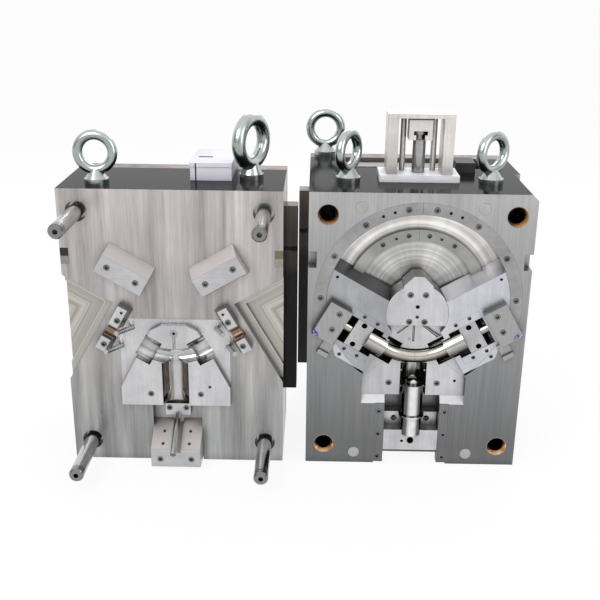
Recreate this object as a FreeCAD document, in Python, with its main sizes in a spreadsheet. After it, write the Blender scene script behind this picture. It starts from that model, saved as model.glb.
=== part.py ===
import FreeCAD, Part
import Sketcher
import os
import re

# Opened injection mould for a swept tee pipe fitting.
# The fixed half stands on the left and the moving half on the right, both with their parting
# faces towards -Y in the plane y = 0 and their lower edges on z = 0. X runs across the pair.

V = FreeCAD.Vector
doc = FreeCAD.newDocument("injection_mould")
sheet = doc.addObject("Spreadsheet::Sheet", "Sizes")

SIZES = {
    # plates
    "half_wide": 450, "half_tall": 600, "lug_span": 500, "lug_low": 80,
    "fixed_face": 95, "fixed_backing": 70, "fixed_runner": 35, "fixed_clamp": 40,
    "core_thick": 185, "support_thick": 50, "spacer_thick": 110, "moving_clamp": 45,
    "spacer_wide": 72, "corner_cut": 13,
    # guide pins and bushes
    "guide_inset": 38.5, "guide_low": 44.5, "guide_top": 45.5, "guide_dia": 30, "guide_reach": 152,
    "guide_sink": 43, "guide_sink_deep": 18, "guide_head": 51, "guide_head_tall": 8,
    "pin_tip": 4, "pin_tap": 10, "pin_tap_deep": 25,
    "bush_outer": 43, "bush_long": 60, "bush_bore": 30.1, "bush_mouth": 41, "bush_lead": 8,
    # arc track and its gibs, about the arc centre
    "arc_height": 369, "ring_inner": 187, "ring_outer": 212, "ring_thick": 20, "ring_end": 100,
    "ring_screws": 199, "track_radius": 191, "track_deep": 50, "gib_inner": 122, "gib_outer": 146,
    "gib_thick": 9, "gib_end": 124, "gib_screws": 134, "slide_gap": 0.3, "relief_steps": 4,
    "relief_wide": 14.5, "relief_deep": 2, "dowel_dia": 6, "corner_start": 20, "corner_bevel": 85,
    "corner_out": 106, "corner_rise": 165, "corner_top": 152, "small_screw": 8,
    # carriers, in their own frame: u outward along the socket, n square to it
    "socket_tilt": 30, "wall_line": 24, "heel_slope": 16, "carrier_low": 185.5, "carrier_in": 13,
    "pocket_in": 25, "pocket_out": 102, "pocket_half": 38, "pocket_deep": 37,
    "strip_in": 31, "strip_out": 47, "strip_thick": 8, "dot_out": 171, "dot_drop": 34,
    # moulded fitting and its cores
    "bend_radius": 120, "bend_core": 27, "pipe_dia": 32, "socket_dia": 55, "socket_core": 45,
    "socket_back": 24, "part_step": 12, "stem_foot": 20, "stem_seat": 18,
    # socket slide
    "slide_in": 48, "slide_out": 85, "slide_thick": 36.7, "lock_slope": 22, "slope_deep": 24,
    "socket_travel": 22.6, "pin_tilt": 20, "pin_pitch": 23.5, "pin_dia": 10, "pin_reach": 62,
    "pin_hole": 11, "pin_root": 45.2, "sleeve_start": 6, "sleeve_bore": 30, "stem_play": 0.5,
    # wedge plates
    "wedge_in": 107.5, "wedge_out": 157.5, "wedge_half": 40, "wedge_thick": 20, "wedge_pitch": 25,
    # centre disc
    "disc_drop": 22, "disc_radius": 64, "disc_neck": 30, "neck_rise": 59, "neck_bevel": 20,
    "sector_drop": 47, "disc_screw_x": 15.5, "disc_tap": 8, "disc_tap_rise": 16, "disc_tap_deep": 20,
    "disc_dowel": 7, "disc_dowel_drop": 6,
    # heel blocks on the fixed half
    "heel_in": 64, "heel_out": 168, "heel_reach": 30, "heel_front": 40, "heel_base": 68,
    "heel_seat": 15, "heel_screw_in": 20,
    # branch core and its slide
    "branch_travel": 46, "branch_tilt": 28, "branch_slope": 30, "branch_half": 58,
    "branch_low": 33, "branch_high": 81, "branch_deep": 50, "shelf_top": 112, "shelf_front": 26,
    "rail_out": 78, "rail_thick": 20, "rail_low": 3, "rail_top": 144, "key_out": 66,
    "branch_core": 45, "branch_foot": 70, "branch_neck": 187, "branch_end": 234, "shut_off": 113,
    "shut_thick": 4,
    "branch_pin": 12, "branch_hole": 14, "hole_height": 56, "branch_reach": 84,
    # core inserts on the moving half
    "insert_low": 159, "insert_half": 110, "insert_drop": 171, "insert_thick": 60,
    "insert_lip": 143, "seam_half": 60, "seam_drop": 129, "insert_screw_x": 51,
    # bottom heel on the fixed half
    "foot_half": 52.5, "foot_recess": 20, "foot_reach": 49, "foot_low": 9, "foot_channel": 10.5,
    "channel_deep": 9, "foot_tap": 6, "foot_tap_x": 28,
    "pin_plate_half": 27, "pin_plate_low": 104, "pin_plate_high": 131, "pin_plate_thick": 13,
    # cavity insert on the fixed half
    "cavity_half": 115, "cavity_low": 136, "cavity_drop": 41, "cavity_side_drop": 191,
    "shoulder_half": 49, "shoulder_drop": 63, "crown_half": 26, "crown_drop": 51, "gate_drop": 109,
    "feed_wide": 5, "cavity_screw_x": 52.5,
    # socket locks on the fixed half
    "lock_in": 62, "lock_out": 92, "lock_half": 45, "lock_top": 60, "lock_reach": 22, "wear_half": 15,
    "wear_reach": 15,
    # clearance pockets for the wedge plates
    "vee_in": 105, "vee_high": 68, "vee_deep": 31, "vee_step": 16, "vee_step_deep": 21,
    # gear train of the arc pull
    "gear_pitch": 48, "tooth_module": 3, "gear_bore": 30.3, "gear_wide": 14, "first_gear": 66.3,
    "second_gear": 84, "tooth_tip": 0.9, "tooth_root": 3.4, "rack_root": 2.7, "chamber": 110,
    "chamber_front": 66, "chamber_back": 105, "arm_in": 13.5, "arm_out": 24.5, "arm_low": 106,
    "arm_high": 88, "arm_root": 40, "rack_out": 62, "rack_drop": 14, "yoke_drop": 60,
    "yoke_tall": 20, "yoke_back": 150, "rod_depth": 135, "pull_dia": 27, "roof": 15,
    "cover_rise": 121, "slot_middle": 113.3, "slot_half": 30.3,
    # pull bracket on top
    "bracket_half": 82, "bracket_front": 93, "bracket_back": 177, "bracket_base": 14,
    "post_in": 46, "post_out": 68, "post_front": 105, "post_back": 165, "post_tall": 128,
    "bracket_cap": 9, "coupler_half": 24, "coupler_rise": 83, "coupler_tall": 41,
    "coupler_deep": 42, "head_half": 14, "head_rise": 10, "head_tall": 8, "neck_half": 9,
    "tie_x": 32, "tie_dia": 12,
    # ejector set
    "ejector_plate": 25, "ejector_retainer": 20, "ejector_gap": 7, "ejector_low": 8,
    "return_inset": 25, "return_low": 25, "return_top": 30, "return_dia": 24,
    "ejector_dia": 4, "ejector_x": 25, "runner_pin": 6, "runner_pin_x": 12.7, "rest_button": 15,
    "button_dia": 24, "button_inset": 36, "button_low": 52, "pillar_dia": 40, "pillar_x": 70,
    # feed
    "feed_drop": 69, "sprue_dia": 16, "sprue_head": 40, "sprue_head_tall": 15, "sprue_end": 6,
    "sprue_mouth": 3.5, "ring_dia": 100,
    "ring_proud": 12, "ring_flange": 104, "ring_seat": 5, "ring_hole": 36, "knockout_dia": 40,
    # lifting eyes
    "eye_outer": 90, "eye_wire": 20, "eye_collar": 50, "eye_collar_high": 11, "eye_neck": 9,
    "eye_shank": 24, "eye_deep": 36, "eye_inset": 79, "front_eye_inset": 73, "rear_eye_inset": 70,
    "rear_eye_outer": 118, "rear_eye_wire": 28, "rear_eye_depth": 110, "clamp_eye_inset": 34,
    # terminal box and switch
    "box_in": 31, "box_out": 116, "box_front": 85, "box_back": 235, "box_high": 36, "box_lid": 8,
    "switch_in": 88, "switch_out": 130, "switch_front": 195, "switch_back": 255, "switch_high": 21,
    # side locks and screws
    "lock_wide": 17, "side_drop": 156, "side_tall": 34, "side_deep": 30, "screw_dia": 13,
    "screw_head": 8, "hex_wide": 7.5,
    # stops of the two carriers
    "stop_in": 100, "stop_wide": 24, "stop_low": 196, "stop_thick": 3, "stop_head": 8,
    "stop_head_tall": 10,
}
# Sizes that follow others
TIED = {
    "lug_high": "half_tall - lug_low",
    "guide_x": "half_wide / 2 - guide_inset", "guide_high": "half_tall - guide_top",
    "disc_height": "arc_height - disc_drop", "disc_top": "arc_height + neck_rise",
    "sector_top": "arc_height - sector_drop", "insert_side": "arc_height - insert_drop",
    "seam_height": "arc_height - seam_drop", "cavity_high": "arc_height - cavity_drop",
    "cavity_side": "arc_height - cavity_side_drop", "feed_height": "arc_height - feed_drop",
    "rack_foot": "arc_height - rack_drop", "yoke_low": "half_tall - yoke_drop",
    "yoke_high": "half_tall - yoke_drop + yoke_tall", "yoke_room": "half_tall - roof",
    "post_top": "half_tall + post_tall", "coupler_low": "half_tall + coupler_rise",
    "coupler_high": "half_tall + coupler_rise + coupler_tall",
    "head_low": "half_tall + coupler_rise + head_rise",
    "head_high": "half_tall + coupler_rise + head_rise + head_tall",
    "ejector_half": "half_wide / 2 - spacer_wide - ejector_gap",
    "return_x": "half_wide / 2 - spacer_wide - ejector_gap - return_inset",
    "return_high": "half_tall - return_top", "pillar_low": "half_tall / 4",
    "pillar_high": "half_tall * 3 / 4", "eye_x": "half_wide / 2 - eye_inset",
    "front_eye_x": "half_wide / 2 - front_eye_inset",
    "rear_eye_x": "half_wide / 2 - rear_eye_inset", "clamp_eye_x": "half_wide / 2 - clamp_eye_inset",
    "side_low": "half_tall - side_drop", "side_high": "half_tall - side_drop + side_tall",
}
ROWS = {alias: str(number) for alias, number in SIZES.items()}
ROWS.update({alias: f"={formula}" for alias, formula in TIED.items()})
for row, (alias, content) in enumerate(ROWS.items(), start=1):
    sheet.set(f"A{row}", alias)
    sheet.set(f"B{row}", content)
    sheet.setAlias(f"B{row}", alias)
doc.recompute()

WORD = re.compile(r"[a-z][a-z_]+")
parts = {}


def cell(text):
    """The expression with each size's name led back to the sheet."""
    return WORD.sub(lambda m: "Sizes." + m.group() if m.group() in ROWS else m.group(), str(text))


def size(text):
    """The expression's present value in millimetres or degrees."""
    return float(sheet.evalExpression(cell(text)))


def place(obj, x, y, z, turn=None):
    if turn is not None:
        obj.Placement = FreeCAD.Placement(V(), turn)
    for letter, text in zip("xyz", (x, y, z)):
        obj.setExpression(f"Placement.Base.{letter}", cell(text))
    return obj


def block(x0, x1, y0, y1, z0, z1):
    """A box between two corners."""
    obj = doc.addObject("Part::Box", "block")
    for side, low, high in (("Length", x0, x1), ("Width", y0, y1), ("Height", z0, z1)):
        obj.setExpression(side, cell(f"({high}) - ({low})"))
    return place(obj, x0, y0, z0)


LAY = {
    "x": FreeCAD.Rotation(V(0, 1, 0), 90),
    "y": FreeCAD.Rotation(V(1, 0, 0), -90),
    "z": FreeCAD.Rotation(),
}


def rod(radius, x, y, z, long, axis="y", turn=None):
    """A cylinder that starts at a point and runs along an axis."""
    obj = doc.addObject("Part::Cylinder", "rod")
    obj.setExpression("Radius", cell(radius))
    obj.setExpression("Height", cell(long))
    return place(obj, x, y, z, turn if turn is not None else LAY[axis])


def cone(radius, end_radius, x, y, z, long, axis="y"):
    obj = doc.addObject("Part::Cone", "cone")
    obj.setExpression("Radius1", cell(radius))
    obj.setExpression("Radius2", cell(end_radius))
    obj.setExpression("Height", cell(long))
    return place(obj, x, y, z, LAY[axis])


def fuse(*shapes):
    if len(shapes) == 1:
        return shapes[0]
    obj = doc.addObject("Part::MultiFuse", "fuse")
    obj.Shapes = list(shapes)
    return obj


def cut(base, *tools):
    obj = doc.addObject("Part::Cut", "cut")
    obj.Base = base
    obj.Tool = fuse(*tools)
    return obj


def common(*shapes):
    obj = doc.addObject("Part::MultiCommon", "common")
    obj.Shapes = list(shapes)
    return obj


def outline(points, start, end, plane="XZ_Plane"):
    """A pad of a straight-sided outline; each corner is held to the sheet."""
    body = doc.addObject("PartDesign::Body", "plate")
    sketch = body.newObject("Sketcher::SketchObject", "outline")
    origin = [f for f in body.Origin.OriginFeatures if f.Role == plane][0]
    sketch.AttachmentSupport = [(origin, "")]
    sketch.MapMode = "FlatFace"
    corners = [(size(a), size(b)) for a, b in points]
    for here, there in zip(corners, corners[1:] + corners[:1]):
        sketch.addGeometry(Part.LineSegment(V(*here, 0), V(*there, 0)))
    for side in range(len(points)):
        sketch.addConstraint(Sketcher.Constraint("Coincident", side, 2, (side + 1) % len(points), 1))
    for side, (texts, values) in enumerate(zip(points, corners)):
        for kind, text, number in zip(("DistanceX", "DistanceY"), texts, values):
            held = sketch.addConstraint(Sketcher.Constraint(kind, -1, 1, side, 1, number))
            sketch.setExpression(f"Constraints[{held}]", cell(text))
    pad = body.newObject("PartDesign::Pad", "pad")
    pad.Profile = sketch
    pad.Reversed = plane == "XZ_Plane"
    pad.setExpression("Length", cell(f"({end}) - ({start})"))
    if plane == "XZ_Plane":
        return place(body, "0", start, "0")
    if plane == "XY_Plane":
        return place(body, "0", "0", start)
    return place(body, start, "0", "0")


def clockwise(angle):
    """Turn about the depth axis by an angle that grows clockwise as the face is seen."""
    return FreeCAD.Rotation(V(0, 1, 0), angle)


def ring_piece(inner, outer, y0, y1, start, end, height="0"):
    """A ring or a stretch of one; angles run clockwise from straight up."""
    turn = clockwise(size(start) - 90).multiply(LAY["y"])
    solids = []
    for radius in (outer, inner):
        obj = rod(radius, "0", y0, height, f"({y1}) - ({y0})", turn=turn)
        obj.setExpression("Angle", cell(f"({end}) - ({start})"))
        solids.append(obj)
    return cut(*solids)


def round_the_arc(radius, tube, depth, start, end, height="0"):
    """A stretch of round bar bent about the arc centre."""
    obj = doc.addObject("Part::Torus", "bend")
    obj.setExpression("Radius1", cell(radius))
    obj.setExpression("Radius2", cell(tube))
    obj.setExpression("Angle3", cell(f"({end}) - ({start})"))
    return place(obj, "0", depth, height, clockwise(size(start) - 90).multiply(LAY["y"]))


def mirrored(obj):
    flip = doc.addObject("Part::Mirroring", "mirrored")
    flip.Source = obj
    flip.Normal = V(1, 0, 0)
    return flip


# The frame's origin is the bottom centre of the box round both halves
MIDDLE = ("(guide_reach - core_thick - support_thick - spacer_thick - moving_clamp / 2"
          " - eye_collar / 2) / 2")
HALF_X = {"fixed": "-lug_span / 2", "moving": "lug_span / 2"}


def on_half(obj, half):
    """Stand a form that was drawn about its own half's middle on that half."""
    box = doc.addObject("Part::Compound", "on_half")
    box.Links = [obj]
    return place(box, HALF_X[half], "0", "0")


def on_arc(obj, half, side):
    """Set a form that was drawn in the carrier's frame on the left or right of the arc centre."""
    form = mirrored(obj) if side == "left" else obj
    box = doc.addObject("Part::Compound", "on_arc")
    box.Links = [form]
    tilt = size("socket_tilt") * (1 if side == "left" else -1)
    return place(box, HALF_X[half], "0", "arc_height", clockwise(tilt))


def both_sides(obj, half):
    return on_arc(obj, half, "left"), on_arc(obj, half, "right")


def keep(name, *shapes):
    """Finish a node: one or more solids under its own label."""
    holder = doc.addObject("Part::Compound", "node")
    holder.Links = list(shapes)
    holder.Label = name
    place(holder, "0", MIDDLE, "0")
    parts[name] = holder
    return holder


def keep_pair(name, obj, half):
    for side in ("left", "right"):
        keep(f"{name}_{side}", on_arc(obj, half, side))


def screw(x, z, face, long="22", wide="screw_dia"):
    """A socket head screw driven from the front, its head just under the face."""
    head = rod(f"{wide} / 2", x, face, z, "screw_head")
    shank = rod(f"{wide} / 4", x, f"({face}) + screw_head", z, long)
    hexagon = doc.addObject("Part::Prism", "hexagon")
    hexagon.Polygon = 6
    hexagon.setExpression("Circumradius", cell("hex_wide / 2"))
    hexagon.setExpression("Height", cell("screw_head / 2"))
    place(hexagon, x, face, z, LAY["y"])
    return cut(fuse(head, shank), hexagon)


def screw_hole(x, z, face, long="22", wide="screw_dia"):
    """The counterbored hole that a screw fills."""
    head = rod(f"{wide} / 2", x, face, z, "screw_head")
    shank = rod(f"{wide} / 4", x, f"({face}) + screw_head", z, long)
    return fuse(head, shank)


SCREWS = {}


def screws(name, half, spots, face="0", long="22", wide="screw_dia"):
    """Note a group of like screws; their holes are cut where they are driven in."""
    solids = [screw(x, z, face, long, wide) for x, z in spots]
    SCREWS.setdefault(name, []).extend(on_half(s, half) for s in solids)
    return fuse(*[screw_hole(x, z, face, long, wide) for x, z in spots])


def ring_spot(radius, angle):
    return f"({radius}) * sin(({angle}) * 1deg)", f"arc_height + ({radius}) * cos(({angle}) * 1deg)"


GUIDES = [(x, z) for x in ("-guide_x", "guide_x") for z in ("guide_low", "guide_high")]
SIGNS = ("-1", "1")
AXIS = "-bend_radius"
GAP = "slide_gap"


def arc_local(obj, side):
    """A form in the carrier's frame, set about the middle of its own half."""
    form = mirrored(obj) if side == "left" else obj
    box = doc.addObject("Part::Compound", "arc_local")
    box.Links = [form]
    tilt = size("socket_tilt") * (1 if side == "left" else -1)
    return place(box, "0", "0", "arc_height", clockwise(tilt))


# Moulded fitting: the space that the inserts leave round the cores
def fitting(depth):
    solids = [round_the_arc("bend_radius", "pipe_dia / 2", depth, "180 - socket_tilt",
                            "180 + socket_tilt", "arc_height")]
    socket = rod("socket_dia / 2", "-socket_back", depth, AXIS, "socket_back + carrier_in", "x")
    solids += [arc_local(socket, side) for side in ("left", "right")]
    solids.append(rod("socket_dia / 2", "0", depth, "0", "branch_end", "z"))
    solids.append(rod("pipe_dia / 2", "0", depth, "shut_off", "arc_height - bend_radius - shut_off", "z"))
    return fuse(*solids)


# Fixed half
def plate(y0, y1):
    return block("-half_wide / 2", "half_wide / 2", y0, y1, "0", "half_tall")


def lugged(y0, y1):
    lugs = block("-lug_span / 2", "lug_span / 2", y0, y1, "lug_low", "lug_high")
    return fuse(plate(y0, y1), lugs)


RUNNER = "fixed_face + fixed_backing"
CLAMP = "fixed_face + fixed_backing + fixed_runner"
FIXED_BACK = "fixed_face + fixed_backing + fixed_runner + fixed_clamp"
SPRUE_HEAD = f"{CLAMP} - sprue_head_tall"
WALL = "-wall_line"
HOLE_TALL = "hole_height + branch_travel"


def sprue_space(y0, y1):
    return rod("sprue_dia / 2", "0", y0, "feed_height", f"({y1}) - ({y0})")


def heel_seat():
    return block("heel_in", "heel_out", "0", "heel_seat", WALL, f"{WALL} + heel_base")


def heel_block():
    """Wedge heel: its lower face bears on the carrier's sloped wall."""
    tip = f"{WALL} + heel_reach * tan(heel_slope * 1deg)"
    profile = [("heel_seat", WALL), ("heel_seat", f"{WALL} + heel_base"),
               ("0", f"{WALL} + heel_base"), ("-heel_reach", f"{tip} + heel_front"),
               ("-heel_reach", tip), ("0", WALL)]
    body = outline(profile, "heel_in", "heel_out", "YZ_Plane")
    return cut(body, arc_holes(HEEL_SPOTS, "-heel_reach", "60"))


HEEL_SPOTS = [(x, f"{WALL} + 29") for x in ("heel_in + heel_screw_in", "heel_out - heel_screw_in")]
CORNER_SPOTS = [("corner_bevel - 5", "8.5 - carrier_low")]
STRIP_SPOTS = [(x, f"{AXIS} + {sign} * (strip_out - 6)")
               for x in ("pocket_in + 22", "pocket_in + 53") for sign in SIGNS]
LOCK_SPOTS = [("lock_out - 13", f"{AXIS} + 30"), ("lock_out - 13", f"{AXIS} - 30")]
WEDGE_SPOTS = [("wedge_in + 22", f"{AXIS} + wedge_pitch"), ("wedge_in + 18", f"{AXIS} - 11")]


def arc_holes(spots, face, long="28", wide="screw_dia"):
    return fuse(*[screw_hole(x, z, face, long, wide) for x, z in spots])


def arc_screws(name, spots, face, half, long="28", wide="screw_dia"):
    """Screws set in the carrier's frame, once on each side."""
    for side in ("left", "right"):
        for x, z in spots:
            SCREWS.setdefault(name.replace("SIDE", side), []).append(
                on_arc(screw(x, z, face, long, wide), half, side))


def vee_pocket():
    """Stepped pocket that clears the proud wedge plate."""
    step = block("vee_in", "half_wide", "0", "vee_step_deep", "-half_wide", "-vee_high")
    deep = block("vee_in + vee_step", "half_wide", "0", "vee_deep", "-half_wide",
                 "-vee_high - vee_step")
    return fuse(step, deep)


def lock_seat():
    return block("lock_in", "lock_out", "0", "heel_seat", f"{AXIS} - lock_half", f"{AXIS} + lock_top")


def socket_lock():
    """Lock block whose inner face holds the socket slide shut."""
    tip = "lock_in + lock_reach * tan(lock_slope * 1deg)"
    profile = [("lock_in", "heel_seat"), ("lock_out", "heel_seat"), ("lock_out", "-lock_reach"),
               (tip, "-lock_reach"), ("lock_in", "0")]
    body = outline(profile, f"{AXIS} - lock_half", f"{AXIS} + lock_top", "XY_Plane")
    hollow = block("lock_in - 5", "lock_out + 5", "-lock_reach - 1", "0",
                   f"{AXIS} - wear_half", f"{AXIS} + wear_half")
    dot = rod("dowel_dia / 2", "lock_out - 13", "-lock_reach", f"{AXIS} + lock_top - 10", "dowel_dia")
    return cut(body, hollow, dot, arc_holes(LOCK_SPOTS, "-lock_reach", "45"))


def wear_piece():
    """Bronze saddle between the two arms of the lock block."""
    tip = "lock_in + wear_reach * tan(lock_slope * 1deg)"
    saddle = block(tip, "lock_out - 2", "-wear_reach", "0", f"{AXIS} - wear_half", f"{AXIS} + wear_half")
    return cut(saddle, rod("wear_half - 5", "lock_in", "-wear_reach", AXIS, "lock_out", "x"))


def socket_pins(back):
    """The two small angle pins of one socket slide."""
    pins = []
    lean = "tan(pin_tilt * 1deg)"
    for sign in SIGNS:
        turn = FreeCAD.Rotation(V(0, 0, 1), size("pin_tilt")).multiply(FreeCAD.Rotation(V(1, 0, 0), 90))
        pins.append(rod("pin_dia / 2", f"pin_root - ({back}) * {lean}", back,
                        f"{AXIS} + {sign} * pin_pitch", f"(({back}) + pin_reach) / cos(pin_tilt * 1deg)",
                        turn=turn))
    return fuse(*pins)


def branch_pin(radius, back):
    """The long angle pin: it leans down as it leaves the face."""
    turn = FreeCAD.Rotation(V(1, 0, 0), 90 + size("branch_tilt"))
    lean = "tan(branch_tilt * 1deg)"
    return rod(radius, "0", back, f"{HOLE_TALL} + ({back}) * {lean}",
               f"(({back}) + branch_reach) / cos(branch_tilt * 1deg)", turn=turn)


CLOSED_LOW = "branch_low + branch_travel"
SLOPE = "tan(branch_slope * 1deg)"
FOOT_SPOTS = [(x, "foot_low + 18") for x in ("19.5 - foot_half", "foot_half - 19.5")]
PIN_PLATE_SPOTS = [(x, "pin_plate_high - 10") for x in ("9 - pin_plate_half", "pin_plate_half - 9")]


def branch_heel_block():
    """Bottom heel: its slope bears on the branch slide, with a channel under the angle pin."""
    profile = [("foot_recess", "foot_low"), ("foot_recess", f"{CLOSED_LOW} + foot_recess * {SLOPE}"),
               ("-foot_reach", f"{CLOSED_LOW} - foot_reach * {SLOPE}"), ("-foot_reach", "foot_low")]
    body = outline(profile, "-foot_half", "foot_half", "YZ_Plane")
    channel = [("foot_recess + 1", f"{CLOSED_LOW} + foot_recess * {SLOPE} - channel_deep"),
               ("foot_recess + 1", f"{CLOSED_LOW} + foot_half"),
               ("-foot_reach - 1", f"{CLOSED_LOW} + foot_half"),
               ("-foot_reach - 1", f"{CLOSED_LOW} - foot_reach * {SLOPE} - channel_deep")]
    slot = outline(channel, "-foot_channel", "foot_channel", "YZ_Plane")
    taps = [rod("foot_tap / 2", x, y, f"{CLOSED_LOW} + ({y}) * {SLOPE} - foot_tap", "2 * foot_tap", "z")
            for x in ("-foot_tap_x", "foot_tap_x") for y in ("-foot_reach / 5", "-foot_reach * 3 / 4")]
    return cut(body, slot, *taps, *[screw_hole(x, z, "-foot_reach", "80") for x, z in FOOT_SPOTS])


def branch_pin_plate():
    base = block("-pin_plate_half", "pin_plate_half", "foot_recess - pin_plate_thick", "foot_recess",
                 "pin_plate_low", "pin_plate_high")
    holes = [screw_hole(x, z, "foot_recess - pin_plate_thick") for x, z in PIN_PLATE_SPOTS]
    return cut(base, branch_pin("branch_pin / 2", "40"), *holes)


CAVITY_SPOTS = [(x, "cavity_low + 26.5") for x in ("-cavity_screw_x", "cavity_screw_x")]
CAVITY_DOTS = [("cavity_half - 43", "cavity_low + 44"), ("28 - cavity_half", "cavity_high - 47")]


def cavity_insert():
    """Cavity insert with its raised parting face."""
    base = block("-cavity_half", "cavity_half", "0", "insert_thick", "cavity_low", "cavity_high")
    raised = [("-cavity_half", "cavity_low"), ("-cavity_half", "cavity_side"),
              ("-shoulder_half", "arc_height - shoulder_drop"), ("-crown_half", "arc_height - crown_drop"),
              ("crown_half", "arc_height - crown_drop"), ("shoulder_half", "arc_height - shoulder_drop"),
              ("cavity_half", "cavity_side"), ("cavity_half", "cavity_low")]
    face = outline(raised, "-part_step", "0")
    gate = "arc_height - gate_drop"
    feed = rod("feed_wide / 2", "0", "-part_step", gate, f"feed_height + 5 - ({gate})", "z")
    dots = [rod("dowel_dia / 2", x, "-part_step", z, "dowel_dia") for x, z in CAVITY_DOTS]
    holes = [screw_hole(x, z, "-part_step", "90") for x, z in CAVITY_SPOTS]
    sprue = sprue_space("-part_step - 1", "insert_thick")
    pieces = [lock_seat(), socket_pins("fixed_face / 2"), arc_holes(LOCK_SPOTS, "-lock_reach", "45")]
    seats = [arc_local(form, side) for form in pieces for side in ("left", "right")]
    return cut(fuse(base, face), fitting("-part_step"), sprue, feed, *dots, *holes, *seats)


def fixed_cavity_plate():
    tools = [block("-cavity_half", "cavity_half", "0", "insert_thick", "cavity_low", "cavity_high")]
    for x, z in GUIDES:
        tools.append(rod("guide_sink / 2", x, "0", z, "fixed_face"))
        tools.append(rod("guide_head / 2", x, "fixed_face - guide_head_tall", z, "guide_head_tall"))
    tools.append(block("-foot_half", "foot_half", "0", "foot_recess", "0", "cavity_low"))
    for low, high in (("-half_wide / 2", "lock_wide - half_wide / 2"),
                      ("half_wide / 2 - lock_wide", "half_wide / 2")):
        tools.append(block(low, high, "0", "side_deep", "side_low", "side_high"))
    tools.append(branch_pin("branch_pin / 2", "40"))
    tools.append(eye_hole("-front_eye_x", "fixed_face / 2"))
    tools.append(sprue_space("0", "fixed_face"))
    tools.append(screws("plate_screws", "fixed", CAVITY_SPOTS, "-part_step", "90"))
    tools.append(screws("plate_screws", "fixed", FOOT_SPOTS, "-foot_reach", "80"))
    tools.append(screws("plate_screws", "fixed", PIN_PLATE_SPOTS, "foot_recess - pin_plate_thick"))
    forms = [heel_seat(), vee_pocket(), lock_seat(), socket_pins("fixed_face / 2"),
             arc_holes(HEEL_SPOTS, "-heel_reach", "60"), arc_holes(LOCK_SPOTS, "-lock_reach", "45")]
    tools += [arc_local(form, side) for form in forms for side in ("left", "right")]
    arc_screws("plate_screws", HEEL_SPOTS, "-heel_reach", "fixed", "60")
    arc_screws("plate_screws", LOCK_SPOTS, "-lock_reach", "fixed", "45")
    return cut(plate("0", "fixed_face"), *tools)


def guide_pin(x, z):
    """Shouldered pin: its thick root fills the plate behind a short sunk well."""
    shank = rod("guide_dia / 2", x, "pin_tip - guide_reach", z, "guide_reach - pin_tip + guide_sink_deep")
    tip = cone("guide_dia / 2 - 3", "guide_dia / 2", x, "-guide_reach", z, "pin_tip")
    root = rod("guide_sink / 2", x, "guide_sink_deep", z, "fixed_face - guide_sink_deep")
    head = rod("guide_head / 2", x, "fixed_face - guide_head_tall", z, "guide_head_tall")
    return cut(fuse(shank, tip, root, head), rod("pin_tap / 2", x, "-guide_reach", z, "pin_tap_deep"))


def eye_bolt(x, y, angle, outer="eye_outer", wire="eye_wire"):
    """Lifting eye bolt; the angle turns its ring about the upright."""
    ring = doc.addObject("Part::Torus", "ring")
    ring.setExpression("Radius1", cell(f"({outer} - {wire}) / 2"))
    ring.setExpression("Radius2", cell(f"{wire} / 2"))
    turn = FreeCAD.Rotation(V(0, 0, 1), angle).multiply(LAY["y"])
    place(ring, x, y, f"half_tall + eye_collar_high + eye_neck + {outer} / 2 - 2", turn)
    collar = rod("eye_collar / 2", x, y, "half_tall", "eye_collar_high", "z")
    neck = cone("eye_collar / 2 - 2", f"{wire} / 2", x, y, "half_tall + eye_collar_high",
                f"eye_neck + {wire} / 2", "z")
    shank = rod("eye_shank / 2", x, y, "half_tall - eye_deep", "eye_deep", "z")
    return fuse(ring, collar, neck, shank)


def eye_hole(x, y):
    return rod("eye_shank / 2", x, y, "half_tall - eye_deep", "eye_deep", "z")


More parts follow.
